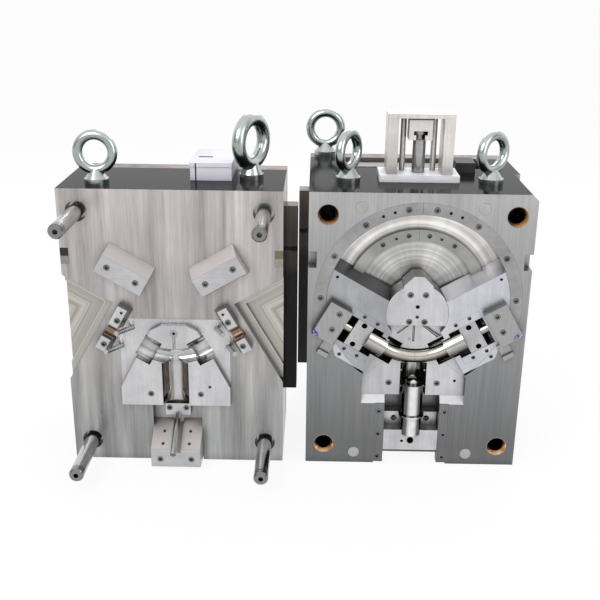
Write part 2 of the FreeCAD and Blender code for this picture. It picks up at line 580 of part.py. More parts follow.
def build_fixed_half():
    """Every piece of the fixed half; its eye bolts and box are handed on to share nodes."""
    def fixed(name, *shapes):
        keep(name, *[on_half(s, "fixed") for s in shapes])

    fixed("fixed_cavity_plate", fixed_cavity_plate())
    backing = plate("fixed_face", RUNNER)
    fixed("fixed_backing_plate", cut(backing, sprue_space("fixed_face", RUNNER),
                                     eye_hole("rear_eye_x", "rear_eye_depth")))
    head = rod("sprue_head / 2", "0", SPRUE_HEAD, "feed_height", "sprue_head_tall")
    fixed("fixed_runner_plate", cut(plate(RUNNER, CLAMP), sprue_space(RUNNER, CLAMP), head))
    clamp = lugged(CLAMP, FIXED_BACK)
    seat = rod("ring_flange / 2", "0", f"{FIXED_BACK} - ring_seat", "feed_height", "ring_seat")
    nozzle_hole = rod("ring_hole / 2", "0", CLAMP, "feed_height", "fixed_clamp")
    fixed("fixed_clamp_plate", cut(clamp, seat, nozzle_hole))
    flange = rod("ring_flange / 2", "0", f"{FIXED_BACK} - ring_seat", "feed_height", "ring_seat")
    ring = rod("ring_dia / 2", "0", FIXED_BACK, "feed_height", "ring_proud")
    fixed("locating_ring", cut(fuse(flange, ring),
                               rod("ring_hole / 2", "0", CLAMP, "feed_height", "fixed_clamp + ring_proud")))
    bush = fuse(sprue_space("-part_step", CLAMP),
                rod("sprue_head / 2", "0", SPRUE_HEAD, "feed_height", "sprue_head_tall"))
    sprue = cone("sprue_end / 2", "sprue_mouth / 2", "0", "-part_step", "feed_height",
                 f"part_step + {CLAMP}")
    fixed("sprue_bush", cut(bush, sprue))
    fixed("cavity_insert", cavity_insert())
    fixed("guide_pins", *[guide_pin(x, z) for x, z in GUIDES])
    keep("heel_blocks", *both_sides(heel_block(), "fixed"))
    keep("socket_locks", *both_sides(socket_lock(), "fixed"))
    keep("lock_wear_pieces", *both_sides(wear_piece(), "fixed"))
    keep("socket_angle_pins", *both_sides(socket_pins("fixed_face / 2"), "fixed"))
    fixed("branch_heel_block", branch_heel_block())
    fixed("branch_pin_plate", branch_pin_plate())
    fixed("branch_angle_pin", branch_pin("branch_pin / 2", "40"))
    locks = [block(low, high, "0", "side_deep", "side_low", "side_high")
             for low, high in (("-half_wide / 2", "lock_wide - half_wide / 2"),
                               ("half_wide / 2 - lock_wide", "half_wide / 2"))]
    fixed("fixed_side_locks", *locks)
    eyes = [on_half(eye_bolt("-front_eye_x", "fixed_face / 2", 0), "fixed"),
            on_half(eye_bolt("rear_eye_x", "rear_eye_depth", 60, "rear_eye_outer", "rear_eye_wire"), "fixed")]
    box = block("box_in", "box_out", "box_front", "box_back", "half_tall",
                "half_tall + box_high - box_lid")
    lid = block("box_in - 1.5", "box_out + 1.5", "box_front - 1.5", "box_back + 1.5",
                "half_tall + box_high - box_lid", "half_tall + box_high")
    return eyes, [on_half(box, "fixed"), on_half(lid, "fixed")]


# Moving half
SUPPORT = "core_thick + support_thick"
MOVING_BACK = f"{SUPPORT} + spacer_thick"
MOVING_END = f"{MOVING_BACK} + moving_clamp"
EJECT_BACK = f"{MOVING_BACK} - rest_button"
EJECT_MID = f"{EJECT_BACK} - ejector_plate"
EJECT_FRONT = f"{EJECT_MID} - ejector_retainer"
PILLARS = [(x, z) for x in ("-pillar_x", "pillar_x") for z in ("pillar_low", "pillar_high")]
RETURNS = [(x, z) for x in ("-return_x", "return_x") for z in ("return_low", "return_high")]
EJECTORS = [(x, z) for x in ("-ejector_x", "ejector_x") for z in ("insert_low + 16", "insert_low + 53")]
RUNNER_PIN = ("-runner_pin_x", "feed_height - 13")
U = "cos(socket_tilt * 1deg)"
W = "sin(socket_tilt * 1deg)"
TANGENT = f"bend_radius * {W}", f"arc_height - bend_radius * {U}"
SEAM = [("seam_half", "seam_height"), ("insert_half - 1", "insert_side")]


def world(u, n):
    """A point of the right carrier's frame as X and Z of its half."""
    return f"({u}) * {U} - ({n}) * {W}", f"arc_height + ({u}) * {W} + ({n}) * {U}"


EDGE = "carrier_in - slide_gap"


def flip(points):
    return [(f"-({x})", z) for x, z in points]


def lower_outline():
    right = [TANGENT, SEAM[0], SEAM[1], ("insert_half - 1", "insert_low")]
    return right + flip(right[::-1]) + [("0", "arc_height - bend_radius")]


def sector_outline():
    right = [("0", "arc_height - bend_radius"), TANGENT, world(EDGE, AXIS), world(EDGE, "-78")]
    return right + flip(right[:0:-1])


def corner_outline():
    return [SEAM[0], TANGENT, world(EDGE, AXIS), world(EDGE, "-carrier_low"),
            ("insert_half - 1", "insert_side + 6"), SEAM[1]]


def disc_form():
    disc = rod("disc_radius", "0", "0", "disc_height", "track_deep")
    right = [("disc_neck", "disc_height"), ("disc_neck", "disc_top - neck_bevel"),
             ("disc_neck - neck_bevel", "disc_top")]
    return fuse(disc, outline(right + flip(right[::-1]), "0", "track_deep"))


def gear_room():
    """Chamber behind the track floor for the two gears, the racks and their yoke."""
    round_room = rod("chamber", "0", "chamber_front", "arc_height", "core_thick - chamber_front")
    channel = block("-rack_out - 4", "rack_out + 4", "chamber_front", "core_thick", "arc_height",
                    "yoke_room")
    slots = [ring_piece("chamber - 22", "chamber - 0.5", "track_deep", "chamber_front",
                        f"{side} * slot_middle - slot_half", f"{side} * slot_middle + slot_half",
                         "arc_height")
             for side in SIGNS]
    return fuse(round_room, channel, *slots)


RING_SPOTS = [ring_spot("ring_screws", a) for a in (-87, -60, -34, -8, 8, 34, 60, 87)]
GIB_SPOTS = [ring_spot("gib_screws", a) for a in (-33, -9, 9, 33)]
DISC_SPOTS = [(x, z) for x in ("-disc_screw_x", "disc_screw_x")
              for z in ("disc_height - 17", "disc_height + 41.5")]
RAIL_SPOTS = [(x, z) for x in ("8 - rail_out", "rail_out - 8")
              for z in ("rail_low + 13", "rail_top / 2 - 1.5", "rail_top - 19.4")]
INSERT_SPOTS = [(x, "insert_low + 27.5") for x in ("-insert_screw_x", "insert_screw_x")]


def core_plate():
    ring = ring_piece("track_radius - 10", "ring_outer", "0", "ring_thick", "-ring_end", "ring_end",
                      "arc_height")
    tools = [ring, rod("track_radius", "0", "0", "arc_height", "track_deep"), gear_room()]
    for step in range(1, int(size("relief_steps")) + 1):
        tools.append(rod(f"gib_inner - {step - 1} * relief_wide", "0", "track_deep", "arc_height",
                         f"{step} * relief_deep"))
    tools.append(outline(lower_outline(), "0", "insert_thick"))
    tools.append(outline(sector_outline(), "0", "insert_thick"))
    corner = outline(corner_outline(), "0", "insert_thick")
    tools += [corner, mirrored(corner)]
    lip = [("0", "insert_lip"), ("0", "insert_low + 1"), ("part_step", "insert_low + 1"),
           ("part_step", "insert_low")]
    tools.append(outline(lip, "1 - insert_half", "insert_half - 1", "YZ_Plane"))
    floor = f"branch_deep + {GAP}"
    wall = f"branch_half + {GAP}"
    tools.append(block(f"-({wall})", wall, "0", floor, "0", "insert_low"))
    tools.append(block("-rail_out", "rail_out", "0", "rail_thick", "0", "rail_top"))
    tools.append(block(f"-key_out - {GAP}", f"key_out + {GAP}", "rail_thick", floor, "0", "rail_top"))
    tip = branch_pin("branch_pin / 2 + 2", "0")
    tools.append(mirror_depth(tip))
    for side in ("left", "right"):
        for sign in SIGNS:
            pin = block("pin_root + 10", "pin_root + 30", "track_deep", "chamber_front - 2",
                        f"{AXIS} + {sign} * pin_pitch - 7", f"{AXIS} + {sign} * pin_pitch + 7")
            tools.append(arc_local(pin, side))
    for x, z in GUIDES:
        tools.append(rod("bush_outer / 2", x, "0", z, "bush_long"))
        tools.append(rod("guide_dia / 2 + 1", x, "bush_long", z, "core_thick - bush_long"))
    for x, z in RETURNS:
        tools.append(rod("return_dia / 2 + 0.05", x, "0", z, "core_thick"))
    for x, z in EJECTORS:
        tools.append(rod("ejector_dia / 2 + 0.3", x, "0", z, "core_thick"))
    tools.append(rod("runner_pin / 2 + 0.3", RUNNER_PIN[0], "0", RUNNER_PIN[1], "core_thick"))
    tools.append(rod("pull_dia / 2 + 0.3", "0", "rod_depth", "yoke_room - 1", "half_tall", "z"))
    tools += [eye_hole(x, "fixed_face") for x in ("-eye_x", "eye_x")]
    tools.append(screws("plate_screws", "moving", RING_SPOTS))
    tools.append(screws("plate_screws", "moving", GIB_SPOTS, "track_deep - gib_thick", "8", "10"))
    tools.append(screws("plate_screws", "moving", RAIL_SPOTS))
    tools.append(screws("plate_screws", "moving", DISC_SPOTS, "0", "56"))
    tools.append(screws("plate_screws", "moving", INSERT_SPOTS, "part_step", "60"))
    corner_holes = arc_holes(CORNER_SPOTS, "0", wide="small_screw")
    arc_screws("plate_screws", CORNER_SPOTS, "0", "moving", wide="small_screw")
    tools += [arc_local(form, side) for form in (corner_form(), corner_holes) for side in ("left", "right")]
    notch = block("-half_wide / 2", "lock_wide - half_wide / 2", "0", "side_deep", "side_low", "side_high")
    tools += [notch, mirrored(notch)]
    corner_cut = [("half_wide / 2 - corner_cut", "half_tall"), ("half_wide / 2", "half_tall"),
                  ("half_wide / 2", "half_tall - corner_cut")]
    tools.append(outline(corner_cut, "0", "core_thick"))
    return cut(plate("0", "core_thick"), *tools)


def corner_form():
    """Space of the gib that holds the carrier's flange at its lower end."""
    points = [("corner_start", "-carrier_low"), ("corner_bevel", "-carrier_low"),
              ("corner_out", "-corner_rise"), ("corner_out", "-corner_top")]
    return cut(outline(points, "0", "ring_thick"), rod("ring_inner", "0", "-1", "0", "ring_thick + 2"))


def mirror_depth(obj):
    turned = doc.addObject("Part::Mirroring", "mirrored")
    turned.Source = obj
    turned.Normal = V(0, 1, 0)
    return turned


def carrier():
    """Carrier of one curved core: it swings in the ring track about the arc centre."""
    blank = block("carrier_in", "ring_inner + 10", f"-{GAP}", f"track_deep - {GAP}", "-carrier_low", "0")
    front = rod(f"ring_inner - {GAP}", "0", f"-{GAP}", "0", f"ring_thick + 2 * {GAP}")
    flange = rod(f"track_radius - {GAP}", "0", f"ring_thick + {GAP}", "0",
                 f"track_deep - ring_thick - 2 * {GAP}")
    form = common(blank, fuse(front, flange))
    rise = "tan(heel_slope * 1deg)"
    wall = [("-1", f"{WALL} - {rise}"), ("-1", "30"), ("track_deep + 1", "30"),
            ("track_deep + 1", f"{WALL} + (track_deep + 1) * {rise}")]
    drop = "arc_height - disc_height"
    disc = rod(f"disc_radius + {GAP}", f"-({drop}) * {W}", f"-{GAP} - 1", f"-({drop}) * {U}",
               "track_deep + 2")
    groove = cut(rod(f"gib_outer + {GAP}", "0", f"track_deep - gib_thick - {GAP}", "0", "20"),
                 rod(f"gib_inner - {GAP}", "0", f"track_deep - gib_thick - {GAP}", "0", "20"))
    pocket = block("pocket_in", "pocket_out", "-1", "pocket_deep", f"{AXIS} - pocket_half",
                   f"{AXIS} + pocket_half")
    sleeve = f"socket_core / 2 + {GAP}"
    slot = block("0", "pocket_in + 1", "-1", "part_step", f"{AXIS} - ({sleeve})", f"{AXIS} + ({sleeve})")
    bore = rod(sleeve, "0", "part_step", AXIS, "pocket_in + 1", "x")
    foot = rod("stem_foot / 2", "pocket_out - 1", "part_step", AXIS, "stem_seat + 1", "x")
    pins = [block("pin_root + 5", "pin_root + 30", "pocket_deep - 1", "track_deep",
                  f"{AXIS} + {sign} * pin_pitch - 7", f"{AXIS} + {sign} * pin_pitch + 7")
            for sign in SIGNS]
    arm = block("arm_in", "arm_out", "track_deep - gib_thick", "track_deep", "-arm_low", "-arm_high")
    strips = block("pocket_in", "pocket_out", "-1", "strip_thick", f"{AXIS} - strip_out",
                   f"{AXIS} + strip_out")
    tools = [outline(wall, "-half_wide", "half_wide", "YZ_Plane"), disc, groove]
    tools += [fuse(pocket, slot, bore), foot, arm, strips]
    tools += [ rod("dowel_dia / 2", "dot_out", "-1", "-dot_drop", "2 * dowel_dia")]
    tools += [screw_hole(x, z, "-wedge_thick", "36") for x, z in WEDGE_SPOTS]
    tools += [screw_hole(x, z, f"-{GAP}", wide="small_screw") for x, z in STRIP_SPOTS]
    for tool in tools + pins:
        form = cut(form, tool)
    return form


def curved_core():
    """Half of the bend core; its thinner shank runs through the slide to the carrier's outer wall."""
    turned = doc.addObject("Part::Compound", "bend")
    turned.Links = [round_the_arc("bend_radius", "bend_core / 2", "part_step",
                                  "180 - socket_tilt", "179.95")]
    turned.Placement = FreeCAD.Placement(V(), clockwise(size("socket_tilt")))
    stem = rod("bend_core / 2", "0", "part_step", AXIS, "pocket_in - 1", "x")
    shank = rod("stem_foot / 2", "pocket_in - 2", "part_step", AXIS,
                "pocket_out + stem_seat + 2 - pocket_in", "x")
    return fuse(turned, stem, shank)


def socket_slide():
    low = f"{AXIS} - pocket_half + {GAP}"
    high = f"{AXIS} + pocket_half - {GAP}"
    edge = "slide_out + slope_deep * tan(lock_slope * 1deg)"
    profile = [("slide_in", "0"), ("slide_out", "0"), (edge, "slope_deep"), (edge, "slide_thick"),
               ("slide_in", "slide_thick")]
    bore = rod("stem_foot / 2 + stem_play", "slide_in - 1", "part_step", AXIS, "pocket_out", "x")
    pins = []
    for sign in SIGNS:
        turn = FreeCAD.Rotation(V(0, 0, 1), -size("pin_tilt")).multiply(LAY["y"])
        lean = "tan(pin_tilt * 1deg)"
        pins.append(rod("pin_hole / 2", f"pin_root + socket_travel - 20 * {lean}", "-20",
                        f"{AXIS} + {sign} * pin_pitch", "90", turn=turn))
    rebates = [block("slide_in - 1", "slide_out + 20", "-1", f"strip_thick + {GAP}", *sorted_span(sign))
               for sign in SIGNS]
    return cut(outline(profile, low, high, "XY_Plane"), bore, *pins, *rebates)


def sorted_span(sign):
    """The lower and upper edge of a slide's rebate under one of its strips."""
    near = f"strip_in - {GAP}"
    if sign == "1":
        return f"{AXIS} + {near}", f"{AXIS} + pocket_half + 1"
    return f"{AXIS} - pocket_half - 1", f"{AXIS} - ({near})"


def slide_strip(sign):
    """Strip screwed over one edge of the socket slide."""
    ends = sorted([f"{AXIS} + {sign} * strip_in", f"{AXIS} + {sign} * strip_out"], key=size)
    bar = common(block("pocket_in", "pocket_out", f"-{GAP}", "strip_thick", *ends),
                 rod(f"ring_inner - {GAP}", "0", f"-{GAP}", "0", f"strip_thick + {GAP}"))
    holes = [screw_hole(x, z, f"-{GAP}", wide="small_screw") for x, z in STRIP_SPOTS]
    return cut(bar, *holes)


def socket_core():
    sleeve = rod("socket_core / 2", "sleeve_start", "part_step", AXIS, "slide_in - sleeve_start", "x")
    return cut(sleeve, rod("sleeve_bore / 2", "0", "part_step", AXIS, "pocket_out", "x"))


def wedge_plate():
    base = block("wedge_in", "wedge_out", "-wedge_thick", f"-{GAP}", f"{AXIS} - wedge_half",
                 f"{AXIS} + wedge_half")
    return cut(base, arc_holes(WEDGE_SPOTS, "-wedge_thick", "36"))


TEETH = "(2 * gear_pitch / tooth_module)"


def gear_arm(front):
    """Leg and arm of one carrier with the toothed hub ring that a rack turns."""
    leg = block("arm_in", "arm_out", "track_deep - gib_thick", f"{front} + gear_wide", "-arm_low",
                "-arm_high")
    arm = block("arm_in", "arm_out", front, f"{front} + gear_wide", "-arm_low", "-arm_root")
    root = "gear_pitch - 1.25 * tooth_module"
    ring = rod(root, "0", front, "0", "gear_wide")
    teeth = []
    for k in range(-1, 6):
        middle = f"(270 + socket_tilt + {k} * 360 / {TEETH}) * 1deg"
        edges = [(f"{root} - 1", "-tooth_root"), ("gear_pitch + tooth_module", "-tooth_tip"),
                 ("gear_pitch + tooth_module", "tooth_tip"), (f"{root} - 1", "tooth_root")]
        points = [(f"({r}) * sin({middle} + ({a}) * 1deg)", f"({r}) * cos({middle} + ({a}) * 1deg)")
                  for r, a in edges]
        teeth.append(outline(points, front, f"{front} + gear_wide"))
    return cut(fuse(leg, arm, ring, *teeth), rod("gear_bore", "0", f"{front} - 1", "0", "gear_wide + 2"))


def rack(front):
    """Straight rack on the left of the arc centre; it pulls the right carrier's gear."""
    step = "3.14159 * tooth_module"
    root = "gear_pitch + 1.25 * tooth_module"
    bar = block("-rack_out", f"-({root})", front, f"{front} + gear_wide", "rack_foot", "yoke_low + 1")
    teeth = []
    for k in range(-1, 6):
        middle = f"arc_height + ({k} + 0.5) * {step}"
        points = [(f"-({root}) - 1", f"{middle} - rack_root"),
                  ("tooth_module - gear_pitch", f"{middle} - tooth_tip"),
                  ("tooth_module - gear_pitch", f"{middle} + tooth_tip"),
                  (f"-({root}) - 1", f"{middle} + rack_root")]
        teeth.append(outline(points, front, f"{front} + gear_wide"))
    return fuse(bar, *teeth)


def branch_slide():
    profile = [("0", "branch_low"), ("0", "branch_high"), ("branch_deep", "branch_high"),
               ("branch_deep", f"branch_low - branch_deep * {SLOPE}")]
    body = outline(profile, "-branch_half", "branch_half", "YZ_Plane")
    keys = block("-key_out", "key_out", f"rail_thick + {GAP}", "branch_deep", "branch_low", "branch_high")
    shelf = block("1 - branch_half", "branch_half - 1", "shelf_front", "branch_deep", "branch_high - 1",
                  "shelf_top")
    core = rod("branch_core / 2", "0", "part_step", "branch_foot", "60", "z")
    hole = mirror_depth(branch_pin("branch_hole / 2", "30"))
    moved = doc.addObject("Part::Compound", "moved")
    moved.Links = [hole]
    place(moved, "0", "0", "-branch_travel")
    height = "(branch_high + shelf_top) / 2"
    spots = fuse(*[screw_hole(x, height, "shelf_front", "14") for x in ("-35", "35")])
    dot = rod("dowel_dia / 2", "-18", "0", "hole_height - 2", "2 * dowel_dia")
    return cut(fuse(body, keys, shelf), core, moved, spots, dot)


def branch_core():
    body = rod("branch_core / 2", "0", "part_step", "branch_foot", "branch_neck - branch_foot", "z")
    collar = rod("socket_dia / 2 - 0.3", "0", "part_step", "shut_off", "shut_thick", "z")
    tip = rod("bend_core / 2", "0", "part_step", "branch_neck - 1", "30", "z")
    saddle_height = "arc_height - bend_radius - branch_travel"
    saddle = rod(f"bend_core / 2 + {GAP}", "-40", "part_step", saddle_height, "80", "x")
    top = block("-40", "40", "-40", "80", saddle_height, f"{saddle_height} + 60")
    return cut(fuse(body, collar, tip), saddle, top)


def spot(angle, radius, depth):
    """A point on a circle about the arc centre, at its depth."""
    x, z = ring_spot(radius, angle)
    return x, depth, z


def runner(x0, z0, x1, z1, radius="2"):
    """A straight runner groove in the sector's face."""
    dx = size(f"({x1}) - ({x0})")
    dz = size(f"({z1}) - ({z0})")
    turn = FreeCAD.Rotation(V(0, 0, 1), V(dx, 0, dz))
    return rod(radius, x0, "part_step", z0, f"{V(dx, 0, dz).Length}", turn=turn)


RUNNERS = [("-13.6", "sector_top - 2", "-38", "feed_height"), ("10", "sector_top", "47", "feed_height - 7"),
           ("15", "sector_top", "52", "feed_height - 4"), ("-4", "sector_top - 2", "-4", "feed_height - 18")]


def build_moving_half(eyes, boxes):
    def moving(name, *shapes):
        keep(name, *[on_half(s, "moving") for s in shapes])

    moving("core_plate", core_plate())
    ends = {"left": ("-ring_end", "-0.05"), "right": ("0.05", "ring_end")}
    ring_holes = fuse(*[screw_hole(x, z, "0") for x, z in RING_SPOTS])
    gib_face = "track_deep - gib_thick"
    ring_dots = fuse(*[rod("dowel_dia / 2", *spot(a, "ring_screws", "0"), "2 * dowel_dia")
                       for a in (-23, -16, 16, 23)])
    gib_dots = fuse(*[rod("dowel_dia / 2", *spot(a, "gib_screws", gib_face), "gib_thick")
                      for a in (-20, 20)])
    gib_holes = fuse(*[screw_hole(x, z, gib_face, "8", "10") for x, z in GIB_SPOTS])
    rings = []
    gibs = []
    for start, end in ends.values():
        ring = ring_piece("ring_inner", "ring_outer", "0", "ring_thick", start, end, "arc_height")
        rings.append(cut(ring, ring_holes, ring_dots))
        start = start.replace("ring_end", "gib_end")
        end = end.replace("ring_end", "gib_end")
        gib = ring_piece("gib_inner", "gib_outer", gib_face, "track_deep", start, end, "arc_height")
        gibs.append(cut(gib, gib_holes, gib_dots))
    corner = cut(corner_form(), arc_holes(CORNER_SPOTS, "0", wide="small_screw"))
    moving("outer_ring_gibs", *rings, *[arc_local(corner, side) for side in ("left", "right")])
    moving("inner_gibs", *gibs)
    under = block("-insert_half", "insert_half", "-1", "track_deep + 1", "insert_low", "sector_top")
    disc = cut(disc_form(), under,
               *[screw_hole(x, z, "0", "56") for x, z in DISC_SPOTS],
               rod("disc_tap / 2", "0", "0", "disc_height + disc_tap_rise", "disc_tap_deep"),
               rod("disc_dowel / 2", "0", "0", "disc_height - disc_dowel_drop", "disc_dowel"))
    moving("center_disc", disc)
    below = block("-insert_half", "insert_half", "0", "insert_thick", "insert_low", "sector_top")
    round_part = common(rod("disc_radius", "0", "part_step", "disc_height", "track_deep - part_step"), below)
    sector = fuse(outline(sector_outline(), "part_step", "insert_thick"), round_part)
    pins = [rod("ejector_dia / 2 + 0.05", x, "0", z, "100") for x, z in EJECTORS]
    runner_hole = rod("runner_pin / 2 + 0.05", RUNNER_PIN[0], "0", RUNNER_PIN[1], "100")
    corner = cut(outline(corner_outline(), "part_step", "insert_thick"), fitting("part_step"))
    grooves = [runner(*points) for points in RUNNERS]
    moving("core_sector", cut(sector, fitting("part_step"), runner_hole, *grooves), corner,
           mirrored(corner))
    lower = outline(lower_outline(), "part_step", "insert_thick")
    holes = [screw_hole(x, z, "part_step", "60") for x, z in INSERT_SPOTS]
    dot = rod("dowel_dia / 2", "insert_half - 22", "part_step", "insert_side - 5", "2 * dowel_dia")
    moving("core_insert", cut(lower, fitting("part_step"), *pins, *holes, dot))
    rail = block(f"branch_half + {GAP}", "rail_out", "0", "rail_thick", "rail_low", "rail_top")
    rail_holes = fuse(*[screw_hole(x, z, "0") for x, z in RAIL_SPOTS])
    moving("branch_rails", cut(rail, rail_holes), cut(mirrored(rail), rail_holes))
    bushes = [cut(rod("bush_outer / 2", x, "0", z, "bush_long"),
                  rod("bush_bore / 2", x, "0", z, "bush_long"),
                  cone("bush_mouth / 2", "bush_bore / 2", x, "0", z, "bush_lead")) for x, z in GUIDES]
    moving("guide_bushes", *bushes)
    hub = rod("gear_bore - 0.3", "0", "chamber_front", "arc_height", "chamber_back - chamber_front")
    cover = rod("chamber", "0", "chamber_back", "arc_height", "core_thick - chamber_back")
    side_cover = block("-rack_out - 4", "rack_out + 4", "chamber_back", "core_thick", "arc_height",
                       "arc_height + cover_rise")
    moving("gear_hub", cut(fuse(hub, cover, side_cover),
                           rod("runner_pin / 2 + 0.3", RUNNER_PIN[0], "0", RUNNER_PIN[1], "core_thick")))
    passes = [rod("return_dia / 2 + 0.5", x, "core_thick", z, "support_thick") for x, z in RETURNS]
    passes += [rod("ejector_dia / 2 + 0.3", x, "core_thick", z, "support_thick") for x, z in EJECTORS]
    passes.append(rod("runner_pin / 2 + 0.3", RUNNER_PIN[0], "core_thick", RUNNER_PIN[1], "support_thick"))
    moving("support_plate", cut(plate("core_thick", SUPPORT), *passes))
    spacer = block("half_wide / 2 - spacer_wide", "half_wide / 2", SUPPORT, MOVING_BACK, "0", "half_tall")
    moving("spacer_blocks", spacer, mirrored(spacer))
    clamp = cut(lugged(MOVING_BACK, MOVING_END),
                rod("knockout_dia / 2", "0", MOVING_BACK, "feed_height", "moving_clamp"),
                eye_hole("-clamp_eye_x", f"{MOVING_BACK} + moving_clamp / 2"))
    moving("moving_clamp_plate", clamp)
    moving("support_pillars", *[rod("pillar_dia / 2", x, SUPPORT, z, "spacer_thick") for x, z in PILLARS])
    rests = [(x, z) for x in ("button_inset - ejector_half", "ejector_half - button_inset")
             for z in ("ejector_low + button_low", "half_tall - ejector_low - button_low")]
    buttons = [rod("button_dia / 2", x, EJECT_BACK, z, "rest_button") for x, z in rests]
    pillar_holes = [rod("pillar_dia / 2 + 1", x, EJECT_FRONT, z, "100") for x, z in PILLARS]
    plate_low = "ejector_low"
    plate_high = "half_tall - ejector_low"
    rear = block("-ejector_half", "ejector_half", EJECT_MID, EJECT_BACK, plate_low, plate_high)
    moving("ejector_plate", cut(rear, *pillar_holes), *buttons)
    front = block("-ejector_half", "ejector_half", EJECT_FRONT, EJECT_MID, plate_low, plate_high)
    holes = [rod("return_dia / 2", x, EJECT_FRONT, z, "100") for x, z in RETURNS]
    holes += [rod("ejector_dia / 2", x, EJECT_FRONT, z, "100") for x, z in EJECTORS]
    holes.append(rod("runner_pin / 2", RUNNER_PIN[0], EJECT_FRONT, RUNNER_PIN[1], "100"))
    moving("ejector_retainer_plate", cut(front, *pillar_holes, *holes))
    moving("return_pins", *[rod("return_dia / 2", x, "0", z, EJECT_MID) for x, z in RETURNS])
    thin = [rod("ejector_dia / 2", x, "22", z, f"{EJECT_MID} - 22") for x, z in EJECTORS]
    thin.append(rod("runner_pin / 2", RUNNER_PIN[0], "part_step", RUNNER_PIN[1], f"{EJECT_MID} - part_step"))
    moving("ejector_pins", *thin)
    eyes += [on_half(eye_bolt("-eye_x", "fixed_face", 58), "moving"),
             on_half(eye_bolt("eye_x", "fixed_face", 40), "moving"),
             on_half(eye_bolt("-clamp_eye_x", f"{MOVING_BACK} + moving_clamp / 2", 0), "moving")]
    keep("eye_bolts", *eyes)
    stop_out = "stop_in + stop_wide"
    stop = block("stop_in", stop_out, "-stop_thick", "0", "-stop_low", f"{AXIS} - wedge_half - {GAP}")
    head = block("stop_in", stop_out, "-stop_head", "0", "-stop_low", "stop_head_tall - stop_low")
    keep("arc_stops", *both_sides(fuse(stop, head), "moving"))
    switch = block("switch_in", "switch_out", "switch_front", "switch_back", "half_tall",
                   "half_tall + switch_high")
    moving("branch_slide", branch_slide())
    moving("branch_core", branch_core())
    keep_pair("carrier", carrier(), "moving")
    keep_pair("curved_core", curved_core(), "moving")
    keep_pair("socket_slide", socket_slide(), "moving")
    keep_pair("socket_core", socket_core(), "moving")
    keep_pair("wedge_plate", wedge_plate(), "moving")
    for side in ("left", "right"):
        keep(f"slide_strips_{side}", *[on_arc(slide_strip(sign), "moving", side) for sign in SIGNS])
    arc_screws("carrier_screws_SIDE", WEDGE_SPOTS, "-wedge_thick", "moving", "36")
    arc_screws("carrier_screws_SIDE", STRIP_SPOTS, f"-{GAP}", "moving", "22", "small_screw")
    keep("gear_arm_right", on_arc(gear_arm("first_gear"), "moving", "right"))
    keep("gear_arm_left", on_arc(gear_arm("second_gear"), "moving", "left"))
    keep("electric_boxes", *boxes, on_half(switch, "moving"))


def build_bracket():
    def moving(name, *shapes):
        keep(name, *[on_half(s, "moving") for s in shapes])

    base = block("-bracket_half", "bracket_half", "bracket_front", "bracket_back", "half_tall",
                 "half_tall + bracket_base")
    moving("bracket_base", cut(base, rod("pull_dia / 2 + 0.3", "0", "rod_depth", "half_tall",
                                         "bracket_base", "z")))
    post = block("post_in", "post_out", "post_front", "post_back", "half_tall + bracket_base", "post_top")
    posts = [post, mirrored(post)]
    cap = block("-post_out", "post_out", "post_front", "post_back", "post_top", "post_top + bracket_cap")
    ties = [rod("tie_dia / 2", x, "post_back - 12", "half_tall + bracket_base",
                "post_top - half_tall - bracket_base", "z") for x in ("-tie_x", "tie_x")]
    moving("bracket_posts", *posts, *ties, cap)
    yoke = block("-rack_out", "rack_out", "first_gear", "yoke_back", "yoke_low", "yoke_high")
    moving("pull_racks", rack("first_gear"), mirrored(rack("second_gear")), yoke)
    shaft = rod("pull_dia / 2", "0", "rod_depth", "yoke_high", "coupler_low - 1 - yoke_high", "z")
    neck = rod("neck_half", "0", "rod_depth", "coupler_low - 1", "head_low - coupler_low + 1", "z")
    head = rod("head_half", "0", "rod_depth", "head_low", "head_high - head_low", "z")
    moving("pull_rod", fuse(shaft, neck, head))
    body = block("-coupler_half", "coupler_half", "rod_depth - coupler_deep / 2",
                 "rod_depth + coupler_deep / 2", "coupler_low", "coupler_high")
    wide = block("-head_half", "head_half", "rod_depth - coupler_deep", "rod_depth + head_half", "head_low",
                 "head_high")
    narrow = block("-neck_half", "neck_half", "rod_depth - coupler_deep", "rod_depth + neck_half",
                   "coupler_low - 1", "head_low + 1")
    moving("pull_coupler", cut(body, wide, narrow))


build_moving_half(*build_fixed_half())
build_bracket()
for group, members in SCREWS.items():
    keep(group, *members)
doc.recompute()
broken = [o.Name for o in doc.Objects if "Invalid" in o.State or "Error" in o.State]
assert not broken, broken
for name, obj in parts.items():
    assert not obj.Shape.isNull() and obj.Shape.isValid(), name
os.makedirs("parts", exist_ok=True)
for name, obj in parts.items():
    obj.Shape.exportStep(f"parts/{name}.step")
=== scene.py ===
import math

import bpy
from mathutils import Matrix, Vector


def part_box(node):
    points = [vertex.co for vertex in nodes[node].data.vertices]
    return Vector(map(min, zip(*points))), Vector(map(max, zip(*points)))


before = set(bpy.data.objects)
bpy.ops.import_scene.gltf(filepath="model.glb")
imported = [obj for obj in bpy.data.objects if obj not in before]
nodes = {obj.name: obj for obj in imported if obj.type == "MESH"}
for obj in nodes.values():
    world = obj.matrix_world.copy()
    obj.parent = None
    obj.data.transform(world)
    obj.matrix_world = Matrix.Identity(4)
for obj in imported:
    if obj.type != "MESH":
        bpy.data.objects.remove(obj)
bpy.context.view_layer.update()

# Places in metres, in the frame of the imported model
FACE_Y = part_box("core_plate")[0][1]
HALF_STEP = 0.25
ARC_HEIGHT = 0.369
TILT = math.radians(30)
TRACK_RADIUS = 0.191
UPRIGHT = (1, 1, 0.08)
LEVEL = (0.08, 1, 1)
TRACK_DEPTH = 0.05
LIP_HEIGHT, LIP_HALF = 0.151, 0.008
GIB_SPLIT = 0.31
BRANCH_END = 0.234
VEE_CORNER = (0.105, -0.068)
VEE_DEPTH = 0.018
INK_CORNER = (0.155, -0.158)
